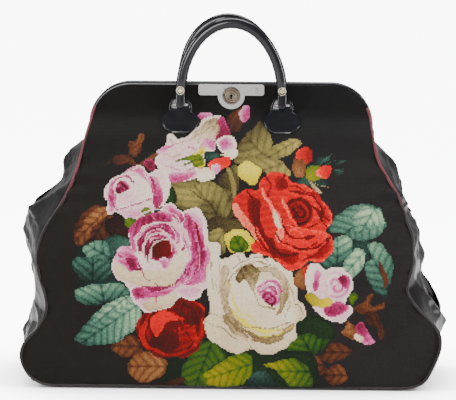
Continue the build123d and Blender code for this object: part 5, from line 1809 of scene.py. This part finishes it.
@dataclass(frozen=True)
class Handles:
    """Rolled leather handles, each flattened into a tongue at its two feet."""

    plane: float = 15.55
    place: float = 55.5
    eye: float = 298.7
    spring: float = 314.0
    crown: float = 392.0
    lift: float = 3.5
    lean: float = 4.0
    lean_run: Line = (330.0, 390.0)
    radius: float = 5.6
    round_run: Line = (314.0, 330.0)
    tongue_half: float = 5.2
    tongue_thick: float = 3.0
    core_radius: float = 3.9
    core_foot: float = 332.0
    seam_foot: float = 326.0
    leg_step: float = 1.6
    bow_points: int = 90

    def line(self, way: int) -> np.ndarray:
        """Centre line of one handle as (x, z), from its left foot over the bow to its right one.

        Args:
            way: -1 for the front handle, 1 for the back one.

        Returns:
            Points along the line.
        """
        turn = np.linspace(math.pi, 0, self.bow_points)
        rise = np.arange(self.eye, self.spring - 1, self.leg_step)
        left, right = (np.stack([np.full(len(rise), side * self.place), rise], 1) for side, _ in HANDS)
        high = self.crown + (self.lift if way > 0 else 0) - self.spring
        bow = np.stack([self.place * np.cos(turn), self.spring + high * np.sin(turn)], 1)
        line = np.concatenate([left, bow, right[::-1]])
        line[:, 0] -= (self.lean if way > 0 else 0) * ease(line[:, 1], *self.lean_run)
        return line

    def in_plane(self, way: int, line: np.ndarray) -> np.ndarray:
        """Puts a line of (x, z) into the plane of one handle."""
        return np.stack([line[:, 0], np.full(len(line), way * self.plane), line[:, 1]], 1)

    def leather(self, way: int, word: str, line: np.ndarray) -> None:
        """Rolls the leather of one handle round its line.

        Args:
            way: -1 for the front handle, 1 for the back one.
            word: Front or back.
            line: Its centre line.
        """
        path = self.in_plane(way, line)
        rolled = ease(path[:, 2], *self.round_run)
        end = np.minimum(1, np.sqrt(np.clip((path[:, 2] - self.eye + 0.4) / 4.5, 0.02, 1)))
        pull = 0.1 * soft_noise(path, 15, 3.0 * way)
        out = self.tongue_half + (self.radius - self.tongue_half) * rolled + pull
        deep = self.tongue_thick + (self.radius - self.tongue_thick) * rolled + pull
        obj = swept(f"{word}_handle_leather", path, out * (0.45 + 0.55 * end), deep,
                    FINISHES.strap, square=2.3, ring=24)
        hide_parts(f"{word}_handle")
        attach(obj, f"{word}_handle")
        LOG.info("built %s", obj.name)

    def core(self, way: int, word: str, line: np.ndarray) -> None:
        """Runs the cord core through the round part of a handle.

        Args:
            way: -1 for the front handle, 1 for the back one.
            word: Front or back.
            line: Its centre line.
        """
        path = self.in_plane(way, line[line[:, 1] > self.core_foot])
        size = np.full(len(path), self.core_radius)
        obj = swept(f"{word}_handle_cord", path, size, size, FINISHES.cord, ring=14)
        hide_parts(f"{word}_handle_core")
        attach(obj, f"{word}_handle")

    def seam(self, way: int, word: str, line: np.ndarray) -> None:
        """Adds the sewn edge that runs along the inside of a handle.

        Args:
            way: -1 for the front handle, 1 for the back one.
            word: Front or back.
            line: Its centre line.
        """
        line = line[line[:, 1] > self.seam_foot]
        along = np.gradient(line, axis=0)
        along /= np.linalg.norm(along, axis=1)[:, None]
        inner = line + np.stack([along[:, 1], -along[:, 0]], 1) * (self.radius - 0.1)
        beat = 0.5 + 0.12 * np.sign(np.sin(np.arange(len(inner)) * math.pi / 2 + 0.3))
        obj = swept(f"{word}_handle_seam", self.in_plane(way, inner), beat, np.full(len(inner), 0.9),
                    FINISHES.strap, ring=8)
        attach(obj, f"{word}_handle")

    def build(self) -> None:
        """Makes both handles and dresses their studs."""
        for way, word in WAYS:
            line = self.line(way)
            self.leather(way, word, line)
            dress(f"{word}_handle_studs", FINISHES.stud)
            self.core(way, word, line)
            self.seam(way, word, line)


@dataclass(frozen=True)
class Lock:
    """Nickel lock plate with its turning rosette, case, bolt and catch."""

    finishes: tuple = (
        ("lock_plate", "nickel", "nickel"), ("lock_rivets", "nickel", "nickel"),
        ("lock_case", "steel", "steel"), ("lock_bolt", "nickel", "nickel"),
        ("catch_tongue", "steel", "steel"), ("key_rosette", "rosette", "rosette_metal"),
    )

    def build(self) -> None:
        """Dresses every piece of the lock."""
        for node, finish, slot in self.finishes:
            dress(node, getattr(FINISHES, finish))


# ---------------------------------------------------------------- surroundings


@dataclass(frozen=True)
class Studio:
    """Pale floor, soft lights and the camera."""

    distance: float = 3.0
    azimuth: float = 0.6
    elevation: float = 7.0
    roll: float = 0.45
    aim: Line = (0.0, 0.0, 0.19)
    lens: float = 215.0
    sensor: float = 36.0
    shift: Line = (-0.0055, 0.0125)
    sky: float = 0.32
    backdrop: float = 13.0
    glow: float = 9.0
    shadow_reach: float = 0.16
    shadow_depth: float = 2.2
    floor_size: float = 90.0
    floor_drop: float = 0.0004
    lit_place: Line = (0.0, 0.0, 0.15)
    lights: tuple = (
        ("top light", (0.1, 0.5, 1.9), (1.6, 0.9), 30),
        ("front light", (-0.6, -2.6, 0.8), (1.0, 1.0), 30),
        ("left light", (-1.5, -0.5, 0.7), (0.25, 1.2), 24),
        ("right light", (1.6, -0.5, 0.7), (0.22, 1.4), 30),
    )

    def floor(self) -> None:
        """Makes the floor, which glows white but stays darker close under the bag."""
        n = Nodes("paper floor")
        mottle = n.lumps(40, 2)
        n.set(Base_Color=n.shades(mottle, (0.3, (0.90, 0.90, 0.90)), (0.7, (0.94, 0.94, 0.94))))
        n.set(Roughness=0.75, Specular_IOR_Level=0.2)
        seen = n.new("LightPath").outputs["Is Camera Ray"]
        open_sky = n.new("AmbientOcclusion", {"Distance": self.shadow_reach}).outputs["AO"]
        glow = n.math("MULTIPLY", n.math("POWER", open_sky, self.shadow_depth),
                      n.math("MULTIPLY", seen, self.glow))
        n.set(Emission_Color=(1.0, 1.0, 1.0), Emission_Strength=glow)
        bpy.ops.mesh.primitive_grid_add(x_subdivisions=4, y_subdivisions=4, size=self.floor_size,
                                        location=(0, 0, -self.floor_drop))
        floor = bpy.context.object
        floor.name = "floor"
        floor.data.materials.append(n.material)

    def world(self) -> None:
        """Surrounds the bag with soft light, and shows white behind it."""
        world = bpy.data.worlds.new("white room")
        world.use_nodes = True
        tree = world.node_tree
        sky = tree.nodes["Background"]
        sky.inputs["Color"].default_value = (1, 1, 1, 1)
        sky.inputs["Strength"].default_value = self.sky
        bright = tree.nodes.new("ShaderNodeBackground")
        bright.inputs["Strength"].default_value = self.backdrop
        mix = tree.nodes.new("ShaderNodeMixShader")
        tree.links.new(tree.nodes.new("ShaderNodeLightPath").outputs["Is Camera Ray"], mix.inputs[0])
        tree.links.new(sky.outputs[0], mix.inputs[1])
        tree.links.new(bright.outputs[0], mix.inputs[2])
        tree.links.new(mix.outputs[0], tree.nodes["World Output"].inputs["Surface"])
        bpy.context.scene.world = world

    def light(self, name: str, place: Line, size: Line, power: float) -> None:
        """Adds one soft light that faces the bag.

        Args:
            name: Name of the light.
            place: Where it stands, in metres.
            size: Its width and height, in metres.
            power: Its power, in watts.
        """
        data = bpy.data.lights.new(name, "AREA")
        data.shape, data.size, data.size_y = "RECTANGLE", size[0], size[1]
        data.energy = power
        obj = bpy.data.objects.new(name, data)
        obj.location = place
        obj.rotation_mode = "QUATERNION"
        obj.rotation_quaternion = (Vector(self.lit_place) - Vector(place)).to_track_quat("-Z", "Y")
        bpy.context.scene.collection.objects.link(obj)

    def camera(self) -> None:
        """Sets up the camera, a long way off and a little above the bag."""
        a, e = math.radians(self.azimuth), math.radians(self.elevation)
        back = Vector((math.sin(a) * math.cos(e), -math.cos(a) * math.cos(e), math.sin(e)))
        data = bpy.data.cameras.new("camera")
        data.lens, data.sensor_width = self.lens, self.sensor
        data.shift_x, data.shift_y = self.shift
        camera = bpy.data.objects.new("camera", data)
        camera.rotation_mode = "QUATERNION"
        turn = Matrix.Rotation(math.radians(self.roll), 3, "Z").to_quaternion()
        camera.rotation_quaternion = (-back).to_track_quat("-Z", "Y") @ turn
        camera.location = Vector(self.aim) + back * self.distance
        bpy.context.scene.collection.objects.link(camera)
        bpy.context.scene.camera = camera

    def build(self) -> None:
        """Sets up the floor, the lights and the camera."""
        self.floor()
        self.world()
        for name, place, size, power in self.lights:
            self.light(name, place, size, power)
        self.camera()


def main() -> None:
    """Builds the bag and its surroundings."""
    logging.basicConfig(level=logging.INFO, format="%(message)s")
    shape = BagShape()
    Studio().build()
    for part in (Base(shape), Gussets(shape), Panels(shape), Piping(shape), Lining(shape),
                 FrameHalves(), Anchors(shape), Handles(), Lock()):
        part.build()
        LOG.info("finished %s", type(part).__name__)


if __name__ == "__main__":
    main()
